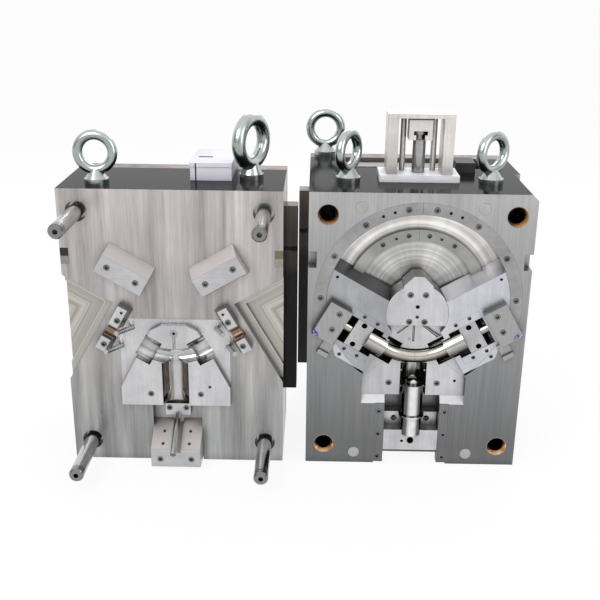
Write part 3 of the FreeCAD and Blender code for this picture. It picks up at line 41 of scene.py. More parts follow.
PLATE_HALF = (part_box("support_plate")[1][0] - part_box("support_plate")[0][0]) / 2
PLATE_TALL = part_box("support_plate")[1][2]


# Shader helpers
def new_material(name):
    material = bpy.data.materials.new(name)
    material.use_nodes = True
    tree = material.node_tree
    shader = tree.nodes["Principled BSDF"]
    return material, tree, shader


def link(tree, output, target):
    tree.links.new(output, target)


def math_node(tree, operation, *values):
    node = tree.nodes.new("ShaderNodeMath")
    node.operation = operation
    for socket, value in zip(node.inputs, values):
        if isinstance(value, (int, float)):
            socket.default_value = value
        else:
            link(tree, value, socket)
    return node.outputs[0]


def mix_colour(tree, factor, first, second, blend="MIX"):
    node = tree.nodes.new("ShaderNodeMix")
    node.data_type = "RGBA"
    node.blend_type = blend
    for socket, value in ((node.inputs[0], factor), (node.inputs[6], first), (node.inputs[7], second)):
        if isinstance(value, (int, float)):
            socket.default_value = value
        elif isinstance(value, tuple):
            socket.default_value = (*value, 1)
        else:
            link(tree, value, socket)
    return node.outputs[2]


def map_range(tree, value, low, high, new_low=0.0, new_high=1.0):
    node = tree.nodes.new("ShaderNodeMapRange")
    link(tree, value, node.inputs["Value"])
    for name, number in (("From Min", low), ("From Max", high), ("To Min", new_low), ("To Max", new_high)):
        node.inputs[name].default_value = number
    return node.outputs[0]


def noise(tree, vector, scale, detail=3.0, roughness=0.5, stretch=None):
    if stretch:
        mapping = tree.nodes.new("ShaderNodeMapping")
        mapping.inputs["Scale"].default_value = stretch
        link(tree, vector, mapping.inputs["Vector"])
        vector = mapping.outputs[0]
    node = tree.nodes.new("ShaderNodeTexNoise")
    node.inputs["Scale"].default_value = scale
    node.inputs["Detail"].default_value = detail
    node.inputs["Roughness"].default_value = roughness
    link(tree, vector, node.inputs["Vector"])
    return node.outputs["Fac"]


def group_frame(name, inputs, outputs):
    group = bpy.data.node_groups.new(name, "ShaderNodeTree")
    for label, kind, value in inputs:
        socket = group.interface.new_socket(label, in_out="INPUT", socket_type=kind)
        if value is not None:
            socket.default_value = value
    for label, kind in outputs:
        group.interface.new_socket(label, in_out="OUTPUT", socket_type=kind)
    entry = group.nodes.new("NodeGroupInput")
    leave = group.nodes.new("NodeGroupOutput")
    return group, entry, leave


def use_group(tree, group, **values):
    node = tree.nodes.new("ShaderNodeGroup")
    node.node_tree = group
    for name, value in values.items():
        socket = node.inputs[name]
        if hasattr(value, "is_linked"):
            link(tree, value, socket)
        else:
            socket.default_value = value
    return node


def make_streaks():
    """Long upright streaks of a ground plate: a broad shade and a fine grain."""
    group, entry, leave = group_frame(
        "ground_streaks",
        [("Position", "NodeSocketVector", None), ("Wide", "NodeSocketFloat", 22.0),
         ("Fine", "NodeSocketFloat", 260.0)],
        [("Broad", "NodeSocketFloat"), ("Grain", "NodeSocketFloat")])
    for wide, out, stretch in (("Wide", "Broad", (1, 1, 0.06)), ("Fine", "Grain", (1, 1, 0.02))):
        mapping = group.nodes.new("ShaderNodeMapping")
        mapping.inputs["Scale"].default_value = stretch
        link(group, entry.outputs["Position"], mapping.inputs["Vector"])
        texture = group.nodes.new("ShaderNodeTexNoise")
        texture.inputs["Detail"].default_value = 5.0
        texture.inputs["Roughness"].default_value = 0.65
        link(group, mapping.outputs[0], texture.inputs["Vector"])
        link(group, entry.outputs[wide], texture.inputs["Scale"])
        link(group, texture.outputs["Fac"], leave.inputs[out])
    return group


def make_blotches():
    """Faint stains and finger marks on bare steel."""
    group, entry, leave = group_frame(
        "handling_marks",
        [("Position", "NodeSocketVector", None), ("Size", "NodeSocketFloat", 14.0)],
        [("Mask", "NodeSocketFloat")])
    texture = group.nodes.new("ShaderNodeTexNoise")
    texture.inputs["Detail"].default_value = 6.0
    texture.inputs["Roughness"].default_value = 0.6
    link(group, entry.outputs["Position"], texture.inputs["Vector"])
    link(group, entry.outputs["Size"], texture.inputs["Scale"])
    ramp = group.nodes.new("ShaderNodeMapRange")
    ramp.inputs["From Min"].default_value = 0.42
    ramp.inputs["From Max"].default_value = 0.68
    link(group, texture.outputs["Fac"], ramp.inputs["Value"])
    link(group, ramp.outputs[0], leave.inputs["Mask"])
    return group


def vector_math(tree, operation, *values):
    node = tree.nodes.new("ShaderNodeVectorMath")
    node.operation = operation
    for socket, value in zip(node.inputs, values):
        if hasattr(value, "is_linked"):
            link(tree, value, socket)
        else:
            socket.default_value = value
    return node


def line_noise(tree, value, scale, detail=4.0, roughness=0.7):
    """Noise along one measure only, which draws lines or rings; the scale is a socket."""
    node = tree.nodes.new("ShaderNodeTexNoise")
    node.noise_dimensions = "1D"
    node.inputs["Detail"].default_value = detail
    node.inputs["Roughness"].default_value = roughness
    link(tree, value, node.inputs["W"])
    link(tree, scale, node.inputs["Scale"])
    return node.outputs["Fac"]


def make_turning():
    """Concentric tool marks about an axis along the depth, with the fan of light they throw."""
    group, entry, leave = group_frame(
        "turning_marks",
        [("Position", "NodeSocketVector", None), ("Centre", "NodeSocketVector", (0.0, 0.0, 0.0)),
         ("Pitch", "NodeSocketFloat", 60.0)],
        [("Rings", "NodeSocketFloat"), ("Radius", "NodeSocketFloat"), ("Sheen", "NodeSocketFloat")])
    offset = vector_math(group, "SUBTRACT", entry.outputs["Position"], entry.outputs["Centre"])
    flat = vector_math(group, "MULTIPLY", offset.outputs[0], (1, 0, 1))
    radius = vector_math(group, "LENGTH", flat.outputs[0]).outputs["Value"]
    direction = vector_math(group, "NORMALIZE", flat.outputs[0]).outputs[0]
    link(group, line_noise(group, radius, entry.outputs["Pitch"]), leave.inputs["Rings"])
    link(group, radius, leave.inputs["Radius"])
    link(group, noise(group, direction, 2.6, 2.0, 0.55), leave.inputs["Sheen"])
    return group


def make_vee():
    """Cutter paths that follow the two edges of a clearance pocket's corner."""
    group, entry, leave = group_frame(
        "vee_milling",
        [("Position", "NodeSocketVector", None), ("Pitch", "NodeSocketFloat", 75.0)],
        [("Lines", "NodeSocketFloat"), ("Distance", "NodeSocketFloat")])
    split = group.nodes.new("ShaderNodeSeparateXYZ")
    link(group, entry.outputs["Position"], split.inputs[0])
    across = math_node(group, "ABSOLUTE", math_node(group, "ADD", split.outputs[0], HALF_STEP))
    up = math_node(group, "SUBTRACT", split.outputs[2], ARC_HEIGHT)
    outward = math_node(group, "ADD", math_node(group, "MULTIPLY", across, math.cos(TILT)),
                        math_node(group, "MULTIPLY", up, math.sin(TILT)))
    square = math_node(group, "SUBTRACT", math_node(group, "MULTIPLY", up, math.cos(TILT)),
                       math_node(group, "MULTIPLY", across, math.sin(TILT)))
    distance = math_node(group, "MINIMUM", math_node(group, "SUBTRACT", outward, VEE_CORNER[0]),
                         math_node(group, "SUBTRACT", VEE_CORNER[1], square))
    link(group, line_noise(group, distance, entry.outputs["Pitch"], 3.0, 0.6), leave.inputs["Lines"])
    link(group, distance, leave.inputs["Distance"])
    return group


def make_edge_shade():
    """Mask along a piece's edges, for dark seam lines that are a painted shade of the narrow gaps between
    parts.
    """
    group, entry, leave = group_frame("painted_edge_shade", [("Width", "NodeSocketFloat", 0.0008)],
                                      [("Mask", "NodeSocketFloat")])
    rounded = group.nodes.new("ShaderNodeBevel")
    rounded.samples = 4
    link(group, entry.outputs["Width"], rounded.inputs["Radius"])
    geometry = group.nodes.new("ShaderNodeNewGeometry")
    along = vector_math(group, "DOT_PRODUCT", rounded.outputs[0], geometry.outputs["Normal"])
    link(group, map_range(group, along.outputs["Value"], 0.985, 0.85), leave.inputs["Mask"])
    return group


def make_corner_shade():
    """Mask that grows in corners and narrow gaps, for a painted shade."""
    group, entry, leave = group_frame("painted_corner_shade", [("Reach", "NodeSocketFloat", 0.02)],
                                      [("Mask", "NodeSocketFloat")])
    shade = group.nodes.new("ShaderNodeAmbientOcclusion")
    shade.samples = 4
    link(group, entry.outputs["Reach"], shade.inputs["Distance"])
    link(group, map_range(group, shade.outputs["AO"], 0.95, 0.25), leave.inputs["Mask"])
    return group


STREAKS = make_streaks()
MARKS = make_blotches()
TURNING = make_turning()
VEE = make_vee()
EDGE_SHADE = make_edge_shade()
CORNER_SHADE = make_corner_shade()


def coordinates(tree):
    """Coordinate node, and its place in metres split into across, depth and height."""
    node = tree.nodes.new("ShaderNodeTexCoord")
    split = tree.nodes.new("ShaderNodeSeparateXYZ")
    link(tree, node.outputs["Object"], split.inputs[0])
    return node, split


def surface_normal(tree, coords):
    """The normal's three parts: across, depth (positive at the back) and height."""
    split = tree.nodes.new("ShaderNodeSeparateXYZ")
    link(tree, coords.outputs["Normal"], split.inputs[0])
    return split.outputs


def facing(tree, coords):
    """How far a surface looks along the depth: 1 on the front and back faces, 0 on the edges."""
    return math_node(tree, "ABSOLUTE", surface_normal(tree, coords)[1])


def bump(tree, shader, height, strength, distance):
    node = tree.nodes.new("ShaderNodeBump")
    node.inputs["Strength"].default_value = strength
    node.inputs["Distance"].default_value = distance
    link(tree, height, node.inputs["Height"])
    link(tree, node.outputs[0], shader.inputs["Normal"])


def grey(tree, value):
    node = tree.nodes.new("ShaderNodeCombineColor")
    for socket in node.inputs[:3]:
        link(tree, value, socket)
    return node.outputs[0]


def shaded(tree, colour, value):
    """The colour made lighter or darker by a number."""
    level = (value, value, value) if isinstance(value, float) else grey(tree, value)
    return mix_colour(tree, 1.0, colour, level, "MULTIPLY")


def seams_and_painted_shade(tree, colour, seam, width, corner_shade_strength, reach=0.02):
    """Dark lines along the edges and darkening in the corners: a painted shade of the narrow gaps and
    corners.
    """
    # Dark lines along every edge: a painted shade of the gaps between parts.
    edge = use_group(tree, EDGE_SHADE, Width=width).outputs[0]
    colour = mix_colour(tree, math_node(tree, "MULTIPLY", edge, seam), colour, (0.03, 0.03, 0.032))
    # Darker in corners and narrow gaps: a painted shade from an occlusion mask.
    corner = use_group(tree, CORNER_SHADE, Reach=reach).outputs[0]
    return mix_colour(tree, math_node(tree, "MULTIPLY", corner, corner_shade_strength), colour, (0.05, 0.045, 0.04))


def depth_mask(tree, place, depth, blur=0.001):
    """1 on surfaces that lie deeper behind the parting face than a depth."""
    return map_range(tree, place.outputs[1], FACE_Y + depth - blur, FACE_Y + depth + blur)


def plate_face(tree, position, place, top, bottom, streak):
    """Ground face of a plate with its upright streaks and stains, lighter at the top and darker at the bottom
    as a painted shade.
    """
    streaks = use_group(tree, STREAKS, Position=position, Wide=30.0, Fine=330.0)
    marks = use_group(tree, MARKS, Position=position, Size=7.0)
    # The face runs from the bottom colour up to the top colour: a painted shade gradient.
    face = mix_colour(tree, map_range(tree, place.outputs[2], 0.05, 0.6), bottom, top)
    shade = map_range(tree, streaks.outputs["Broad"], 0.32, 0.68, 1 - streak, 1 + streak * 0.55)
    grain = map_range(tree, streaks.outputs["Grain"], 0.3, 0.7, 0.86, 1.08)
    face = shaded(tree, face, math_node(tree, "MULTIPLY", shade, grain))
    stain = math_node(tree, "MULTIPLY", marks.outputs["Mask"], 0.16)
    face = mix_colour(tree, stain, face, (0.22, 0.20, 0.18))
    return face, streaks


def finish_plate(tree, shader, coords, place, face, streaks, edge, roughness):
    """Plain steel in the recesses, with a painted shade on walls that do not face the front, and blackened
    outer edges round the ground face, partly a painted dark reflection.
    """
    ahead = facing(tree, coords)
    across = math_node(tree, "SUBTRACT", math_node(tree, "ABSOLUTE", place.outputs[0]), HALF_STEP)
    beside = map_range(tree, math_node(tree, "ABSOLUTE", across), PLATE_HALF - 0.0004, PLATE_HALF - 0.0002)
    above = map_range(tree, place.outputs[2], PLATE_TALL - 0.0004, PLATE_TALL - 0.0002)
    below = map_range(tree, place.outputs[2], 0.0004, 0.0002)
    outside = math_node(tree, "MAXIMUM", math_node(tree, "MAXIMUM", beside, above), below)
    flat = map_range(tree, ahead, 0.6, 0.95)
    black = math_node(tree, "MULTIPLY", outside, math_node(tree, "SUBTRACT", 1.0, flat))
    front = math_node(tree, "SUBTRACT", 1.0, black)
    # Walls that do not face the front are painted 0.55 times darker: a painted shade.
    colour = mix_colour(tree, flat, shaded(tree, face, 0.55), face)
    # Outer faces are nearly black: blackened steel, partly a painted dark reflection.
    colour = mix_colour(tree, black, colour, edge)
    side_edge = math_node(tree, "MULTIPLY", black, beside)
    colour = mix_colour(tree, side_edge, colour, tuple(2.2 * c for c in edge))
    link(tree, seams_and_painted_shade(tree, colour, 0.75, 0.0009, 0.5, 0.022), shader.inputs["Base Color"])
    link(tree, front, shader.inputs["Metallic"])
    face_rough = map_range(tree, streaks.outputs["Broad"], 0.3, 0.75, roughness - 0.06, roughness + 0.1)
    rough = math_node(tree, "ADD", math_node(tree, "MULTIPLY", front, face_rough),
                      math_node(tree, "MULTIPLY", black, 0.13))
    link(tree, rough, shader.inputs["Roughness"])
    shader.inputs["Specular IOR Level"].default_value = 0.035
    bump(tree, shader, streaks.outputs["Grain"], 0.05, 0.0003)


def fixed_plate_material():
    """Bright streaked plate with the milled clearance pockets at its sides."""
    material, tree, shader = new_material("ground_fixed_plate")
    coords, place = coordinates(tree)
    position = coords.outputs["Object"]
    face, streaks = plate_face(tree, position, place, FIXED_LIT_TOP, FIXED_SHADED_LOW, 0.4)
    milled = use_group(tree, VEE, Position=position, Pitch=95.0)
    floor = mix_colour(tree, map_range(tree, milled.outputs["Lines"], 0.35, 0.65), (0.33, 0.32, 0.285),
                       (0.62, 0.61, 0.57))
    pocket = math_node(tree, "MULTIPLY", depth_mask(tree, place, VEE_DEPTH),
                       map_range(tree, milled.outputs["Distance"], -0.002, 0.0))
    face = mix_colour(tree, pocket, face, floor)
    finish_plate(tree, shader, coords, place, face, streaks, (0.012, 0.012, 0.012), 0.33)
    return material


def moving_plate_material(name, top, bottom):
    """Grey satin plate with a turned arc track, its fan of sheen painted into the colour, and a painted
    highlight on the upward lips under the core insert.
    """
    material, tree, shader = new_material(name)
    coords, place = coordinates(tree)
    position = coords.outputs["Object"]
    face, streaks = plate_face(tree, position, place, top, bottom, 0.09)
    turned = use_group(tree, TURNING, Position=position, Centre=(HALF_STEP, 0, ARC_HEIGHT), Pitch=85.0)
    rings = map_range(tree, turned.outputs["Rings"], 0.32, 0.68, 0.72, 1.22)
    # Painted sheen: the fan of light from the turning marks lightens and darkens the floor's colour.
    painted_sheen = map_range(tree, turned.outputs["Sheen"], 0.36, 0.62, 0.84, 1.3)
    outer = map_range(tree, turned.outputs["Radius"], 0.12, 0.18)
    floor = mix_colour(tree, outer, (0.56, 0.555, 0.55), (0.86, 0.83, 0.80))
    floor = shaded(tree, floor, math_node(tree, "MULTIPLY", rings, painted_sheen))
    inside = map_range(tree, turned.outputs["Radius"], TRACK_RADIUS, TRACK_RADIUS + 0.001, 1.0, 0.0)
    track = math_node(tree, "MULTIPLY", depth_mask(tree, place, TRACK_DEPTH - 0.002), inside)
    face = mix_colour(tree, track, face, floor)
    # Upward faces at the lip under the core insert are painted bright: a painted highlight.
    from_lip = math_node(tree, "ABSOLUTE", math_node(tree, "SUBTRACT", place.outputs[2], LIP_HEIGHT))
    lit_lip = math_node(tree, "MULTIPLY", map_range(tree, surface_normal(tree, coords)[2], 0.3, 0.5),
                    map_range(tree, from_lip, LIP_HALF + 0.0005, LIP_HALF))
    face = mix_colour(tree, lit_lip, face, (0.72, 0.72, 0.73))
    finish_plate(tree, shader, coords, place, face, streaks, (0.012, 0.012, 0.013), 0.36)
    return material


def milled_material(name, colour, dark, roughness, stretch=(1, 1, 1), scale=160.0, painted_flank=None, seam=0.85,
                    width=0.0009, metallic=1.0, low_end=None):
    """Milled or ground piece with a grain; its flanks may be painted lighter or darker by the way they face,
    a painted light on some pieces and a painted shade on others, and its low end may have its own colour.
    """
    material, tree, shader = new_material(name)
    coords, place = coordinates(tree)
    position = coords.outputs["Object"]
    grain = noise(tree, position, scale, 4.0, 0.6, stretch)
    broad = noise(tree, position, 16.0, 3.0, 0.5, stretch)
    marks = use_group(tree, MARKS, Position=position, Size=26.0)
    shade = mix_colour(tree, map_range(tree, broad, 0.38, 0.66), colour, dark)
    shade = mix_colour(tree, math_node(tree, "MULTIPLY", marks.outputs["Mask"], 0.22), shade,
                       tuple(0.5 * c for c in dark))
    shade = shaded(tree, shade, map_range(tree, grain, 0.3, 0.7, 0.9, 1.05))
    rough = map_range(tree, grain, 0.3, 0.7, roughness - 0.05, roughness + 0.08)
    # Faces that do not look to the front take the flank colour, which is painted light and shade by the way
    # they face.
    if painted_flank:
        flank = map_range(tree, facing(tree, coords), 0.98, 0.965)
        shade = mix_colour(tree, flank, shade, painted_flank)
        rough = math_node(tree, "MAXIMUM", rough, math_node(tree, "MULTIPLY", flank, 0.42))
    if low_end:
        height, low_colour = low_end
        low = map_range(tree, place.outputs[2], height + 0.0002, height)
        shade = mix_colour(tree, low, shade, low_colour)
    link(tree, seams_and_painted_shade(tree, shade, seam, width, 0.6), shader.inputs["Base Color"])
    shader.inputs["Metallic"].default_value = metallic
    link(tree, rough, shader.inputs["Roughness"])
    return material


def polished_material(name, colour, roughness, under=None, corner_shade_strength=0.5, tip=None, flank=None):
    """Ground or polished round piece; its lower side may be painted darker as a painted shade and dark
    reflection, its flanks painted dark round a painted highlight on its front, and its front tip may be
    darker.
    """
    material, tree, shader = new_material(name)
    coords, place = coordinates(tree)
    haze = noise(tree, coords.outputs["Object"], 60.0, 4.0, 0.6)
    tint = mix_colour(tree, map_range(tree, haze, 0.35, 0.7), colour, tuple(0.85 * c for c in colour))
    # The underside is painted darker: a painted shade and dark reflection.
    if under:
        upward = surface_normal(tree, coords)[2]
        tint = mix_colour(tree, map_range(tree, upward, 0.25, -0.45), tint, under)
    # The flanks are painted dark round the front: painted dark reflections, leaving a painted highlight
    # strip.
    if flank:
        tint = mix_colour(tree, map_range(tree, facing(tree, coords), 0.985, 0.85), tint, flank)
    if tip:
        behind = math_node(tree, "SUBTRACT", place.outputs[1], tip)
        tint = mix_colour(tree, map_range(tree, behind, 0.024, 0.004), tint, (0.24, 0.24, 0.24))
        groove = math_node(tree, "ABSOLUTE", math_node(tree, "SUBTRACT", behind, 0.014))
        tint = mix_colour(tree, map_range(tree, groove, 0.0014, 0.001), tint, (0.04, 0.04, 0.04))
    link(tree, seams_and_painted_shade(tree, tint, 0.5, 0.0008, corner_shade_strength), shader.inputs["Base Color"])
    shader.inputs["Metallic"].default_value = 1.0
    link(tree, map_range(tree, haze, 0.3, 0.7, roughness, roughness + 0.06), shader.inputs["Roughness"])
    return material


def bush_material():
    """Bronze bush: steel end ring, bright lead-in cone and a bore in shadow."""
    material, tree, shader = new_material("bronze_bush")
    coords, place = coordinates(tree)
    ahead = facing(tree, coords)
    haze = noise(tree, coords.outputs["Object"], 90.0, 3.0, 0.6)
    gold = mix_colour(tree, map_range(tree, haze, 0.35, 0.7), (0.74, 0.50, 0.28), (0.52, 0.33, 0.18))
    inside = mix_colour(tree, map_range(tree, ahead, 0.02, 0.06), (0.07, 0.045, 0.03), gold)
    colour = mix_colour(tree, map_range(tree, ahead, 0.93, 0.99), inside, (0.42, 0.41, 0.40))
    link(tree, seams_and_painted_shade(tree, colour, 0.7, 0.0008, 0.6), shader.inputs["Base Color"])
    shader.inputs["Metallic"].default_value = 1.0
    shader.inputs["Roughness"].default_value = 0.24
    return material


def box_material():
    """Pale terminal box on the fixed half, dark switch box on the moving half."""
    material, tree, shader = new_material("electric_box")
    coords, place = coordinates(tree)
    position = coords.outputs["Object"]
    cloud = noise(tree, position, 12.0, 3.0, 0.5)
    pale = mix_colour(tree, map_range(tree, cloud, 0.35, 0.7), (0.70, 0.69, 0.76), (0.60, 0.59, 0.67))
    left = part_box("electric_boxes")[0][0]
    slot_half, slot_x = 0.0012, left + 0.013
    lid_slot_half, lid_slot_at = (0.0145, 0.006), (left + 0.027, FACE_Y + 0.15)
    beside = math_node(tree, "ABSOLUTE", math_node(tree, "SUBTRACT", place.outputs[0], slot_x))
    front_slot = math_node(tree, "MULTIPLY", map_range(tree, beside, slot_half + 0.0006, slot_half),
                           map_range(tree, facing(tree, coords), 0.8, 0.9))
    lid_slot = map_range(tree, surface_normal(tree, coords)[2], 0.8, 0.9)
    for output, half_size, centre in zip(place.outputs, lid_slot_half, lid_slot_at):
        off = math_node(tree, "ABSOLUTE", math_node(tree, "SUBTRACT", output, centre))
        lid_slot = math_node(tree, "MULTIPLY", lid_slot, map_range(tree, off, half_size + 0.001, half_size))
    pale = mix_colour(tree, math_node(tree, "MAXIMUM", front_slot, lid_slot), pale, (0.03, 0.03, 0.035))
    half = map_range(tree, place.outputs[0], -0.001, 0.001)
    colour = mix_colour(tree, half, pale, (0.045, 0.045, 0.05))
    link(tree, seams_and_painted_shade(tree, colour, 0.55, 0.0012, 0.5), shader.inputs["Base Color"])
    shader.inputs["Specular IOR Level"].default_value = 0.25
    link(tree, map_range(tree, cloud, 0.3, 0.7, 0.44, 0.56), shader.inputs["Roughness"])
    return material


def wedge_material():
    """Plain grey wear plate, its flanks painted darker as a painted shade, with smears of blue spotting ink
    at its lower outer corner.
    """
    material, tree, shader = new_material("hardened_plate")
    coords, place = coordinates(tree)
    position = coords.outputs["Object"]
    grain = noise(tree, position, 300.0, 4.0, 0.6, (1, 1, 0.1))
    colour = mix_colour(tree, map_range(tree, grain, 0.3, 0.7), (0.34, 0.34, 0.34), (0.42, 0.42, 0.42))
    # Flanks that do not face the front are painted darker: a painted shade.
    colour = mix_colour(tree, map_range(tree, facing(tree, coords), 0.8, 0.95), (0.20, 0.20, 0.20), colour)
    across = math_node(tree, "ABSOLUTE", math_node(tree, "SUBTRACT", place.outputs[0], HALF_STEP))
    outward, upward = INK_CORNER
    corner = (outward * math.cos(TILT) - upward * math.sin(TILT),
              ARC_HEIGHT + outward * math.sin(TILT) + upward * math.cos(TILT))
    from_x = math_node(tree, "POWER", math_node(tree, "SUBTRACT", across, corner[0]), 2.0)
    from_z = math_node(tree, "POWER", math_node(tree, "SUBTRACT", place.outputs[2], corner[1]), 2.0)
    away = math_node(tree, "SQRT", math_node(tree, "ADD", from_x, from_z))
    patchy = map_range(tree, noise(tree, position, 110.0, 3.0, 0.6), 0.5, 0.58)
    ink = math_node(tree, "MULTIPLY", map_range(tree, away, 0.022, 0.008), patchy)
    colour = mix_colour(tree, ink, colour, (0.06, 0.06, 0.32))
    link(tree, seams_and_painted_shade(tree, colour, 0.7, 0.0009, 0.6), shader.inputs["Base Color"])
    shader.inputs["Metallic"].default_value = 1.0
    shader.inputs["Roughness"].default_value = 0.38
    return material


def side_lock_material():
    """Brass wear block at the right edge of the fixed half, a dark steel one at its left."""
    material, tree, shader = new_material("side_lock")
    coords, place = coordinates(tree)
    low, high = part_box("fixed_side_locks")
    grain = noise(tree, coords.outputs["Object"], 180.0, 4.0, 0.6)
    middle = (low[2] + high[2]) / 2
    upper = map_range(tree, place.outputs[2], middle - 0.0005, middle + 0.0005)
    brass = mix_colour(tree, upper, (0.36, 0.33, 0.27), (0.22, 0.185, 0.13))
    dark = mix_colour(tree, upper, (0.30, 0.30, 0.30), (0.05, 0.05, 0.05))
    right = map_range(tree, place.outputs[0], -HALF_STEP - 0.001, -HALF_STEP + 0.001)
    colour = mix_colour(tree, right, dark, brass)
    colour = shaded(tree, colour, map_range(tree, grain, 0.3, 0.7, 0.85, 1.05))
    link(tree, seams_and_painted_shade(tree, colour, 0.8, 0.0012, 0.5), shader.inputs["Base Color"])
    shader.inputs["Metallic"].default_value = 1.0
    shader.inputs["Roughness"].default_value = 0.34
    return material


def clamp_material():
    """Blackened lugs, browned towards their top, and the ground rear face that the machine clamps."""
    material, tree, shader = new_material("blackened_clamp_plate")
    coords, place = coordinates(tree)
    position = coords.outputs["Object"]
    streaks = use_group(tree, STREAKS, Position=position, Wide=26.0, Fine=300.0)
    height = math_node(tree, "ADD", place.outputs[2],
                       math_node(tree, "MULTIPLY", noise(tree, position, 30.0, 3.0, 0.6), 0.02))
    lug = mix_colour(tree, map_range(tree, height, 0.37, 0.40), (0.045, 0.044, 0.044), (0.11, 0.10, 0.095))
    lug = mix_colour(tree, map_range(tree, height, 0.47, 0.53), lug, (0.20, 0.165, 0.15))
    line = math_node(tree, "ABSOLUTE", math_node(tree, "SUBTRACT", height, 0.435))
    lug = mix_colour(tree, map_range(tree, line, 0.006, 0.003), lug, (0.02, 0.02, 0.02))
    rear = map_range(tree, surface_normal(tree, coords)[1], 0.3, 0.9)
    colour = mix_colour(tree, rear, lug, (0.30, 0.285, 0.275))
    shade = map_range(tree, streaks.outputs["Broad"], 0.3, 0.7, 0.6, 1.5)
    colour = shaded(tree, colour, shade)
    link(tree, seams_and_painted_shade(tree, colour, 0.5, 0.001, 0.6), shader.inputs["Base Color"])
    shader.inputs["Metallic"].default_value = 0.6
    shader.inputs["Specular IOR Level"].default_value = 0.2
    link(tree, map_range(tree, streaks.outputs["Grain"], 0.3, 0.7, 0.3, 0.42), shader.inputs["Roughness"])
    return material


def insert_material(name, cavity, cavity_low, cavity_rough, below):
    """Ground insert with its flanks painted darker as a painted shade; the moulding surfaces sunk below a
    depth have colours of their own, one above the branch's end and one below, with a painted shade along
    their rims.
    """
    material, tree, shader = new_material(name)
    coords, place = coordinates(tree)
    position = coords.outputs["Object"]
    grain = noise(tree, position, 200.0, 4.0, 0.6, UPRIGHT)
    broad = noise(tree, position, 16.0, 3.0, 0.5, UPRIGHT)
    marks = use_group(tree, MARKS, Position=position, Size=26.0)
    colour = mix_colour(tree, map_range(tree, broad, 0.38, 0.66), (0.66, 0.66, 0.67), (0.52, 0.52, 0.54))
    colour = mix_colour(tree, math_node(tree, "MULTIPLY", marks.outputs["Mask"], 0.2), colour,
                        (0.26, 0.26, 0.27))
    colour = shaded(tree, colour, map_range(tree, grain, 0.3, 0.7, 0.9, 1.05))
    # Flanks that do not face the front are painted darker: a painted shade.
    painted_flank = map_range(tree, facing(tree, coords), 0.97, 0.93)
    colour = mix_colour(tree, painted_flank, colour, (0.30, 0.30, 0.29))
    sunk = math_node(tree, "MULTIPLY", depth_mask(tree, place, below, 0.0004), painted_flank)
    cloud = noise(tree, position, 40.0, 4.0, 0.6)
    upper = map_range(tree, place.outputs[2], BRANCH_END, BRANCH_END + 0.01)
    wall = mix_colour(tree, upper, cavity_low, cavity)
    wall = shaded(tree, wall, map_range(tree, cloud, 0.38, 0.66, 0.65, 1.0))
    colour = mix_colour(tree, sunk, colour, wall)
    # A wide dark line along the rims of the sunk surfaces: a painted shade.
    edge = use_group(tree, EDGE_SHADE, Width=0.0032).outputs[0]
    rim = math_node(tree, "MULTIPLY", math_node(tree, "MULTIPLY", edge, sunk), 0.9)
    colour = mix_colour(tree, rim, colour, (0.03, 0.065, 0.045))
    link(tree, seams_and_painted_shade(tree, colour, 0.8, 0.0009, 0.6), shader.inputs["Base Color"])
    shader.inputs["Metallic"].default_value = 1.0
    plain = map_range(tree, grain, 0.3, 0.7, 0.25, 0.38)
    rough = math_node(tree, "ADD", math_node(tree, "MULTIPLY", plain, math_node(tree, "SUBTRACT", 1.0, sunk)),
                      math_node(tree, "MULTIPLY", sunk, cavity_rough))
    link(tree, rough, shader.inputs["Roughness"])
    return material


# Finishes, some with painted light and shade
# Plate colours of each face's lit top and shaded bottom: a painted shade gradient.
FIXED_LIT_TOP, FIXED_SHADED_LOW = (0.62, 0.575, 0.565), (0.42, 0.425, 0.425)
MOVING_LIT_TOP, MOVING_SHADED_LOW = (0.50, 0.50, 0.505), (0.17, 0.175, 0.18)
fixed_plate = fixed_plate_material()
moving_plate = moving_plate_material("ground_moving_plate", MOVING_LIT_TOP, MOVING_SHADED_LOW)
clamp_steel = clamp_material()
cavity_steel = insert_material("cavity_insert", (0.86, 0.89, 0.87), (0.34, 0.32, 0.30), 0.07, -0.0115)
# The core insert's sunk moulding surfaces are painted nearly black: a painted dark reflection.
core_steel = insert_material("core_insert", (0.10, 0.11, 0.075), (0.15, 0.155, 0.13), 0.12, 0.0125)
# Its flanks are painted darker: a painted shade.
insert_steel = milled_material("ground_insert", (0.66, 0.66, 0.67), (0.52, 0.52, 0.54), 0.30, UPRIGHT, 200.0,
                               (0.30, 0.30, 0.29))
# The heel blocks' flanks, their upper slope among them, are painted lighter than their face: a painted light.
heel_steel = milled_material("ground_heel", (0.58, 0.575, 0.59), (0.48, 0.475, 0.50), 0.32, LEVEL, 220.0,
                             (0.64, 0.60, 0.60))
# Both carriers are one steel: the left is painted darker and the right lighter and bluer, a painted shade and
# a painted light, and so are their flank colours.
carrier_left = milled_material("carrier_steel_shaded_copy", (0.46, 0.47, 0.49), (0.37, 0.38, 0.40), 0.28, UPRIGHT,
                               200.0, (0.11, 0.11, 0.115))
carrier_right = milled_material("carrier_steel_lit_copy", (0.68, 0.69, 0.74), (0.56, 0.57, 0.62), 0.28, UPRIGHT,
                                200.0, (0.50, 0.50, 0.53))
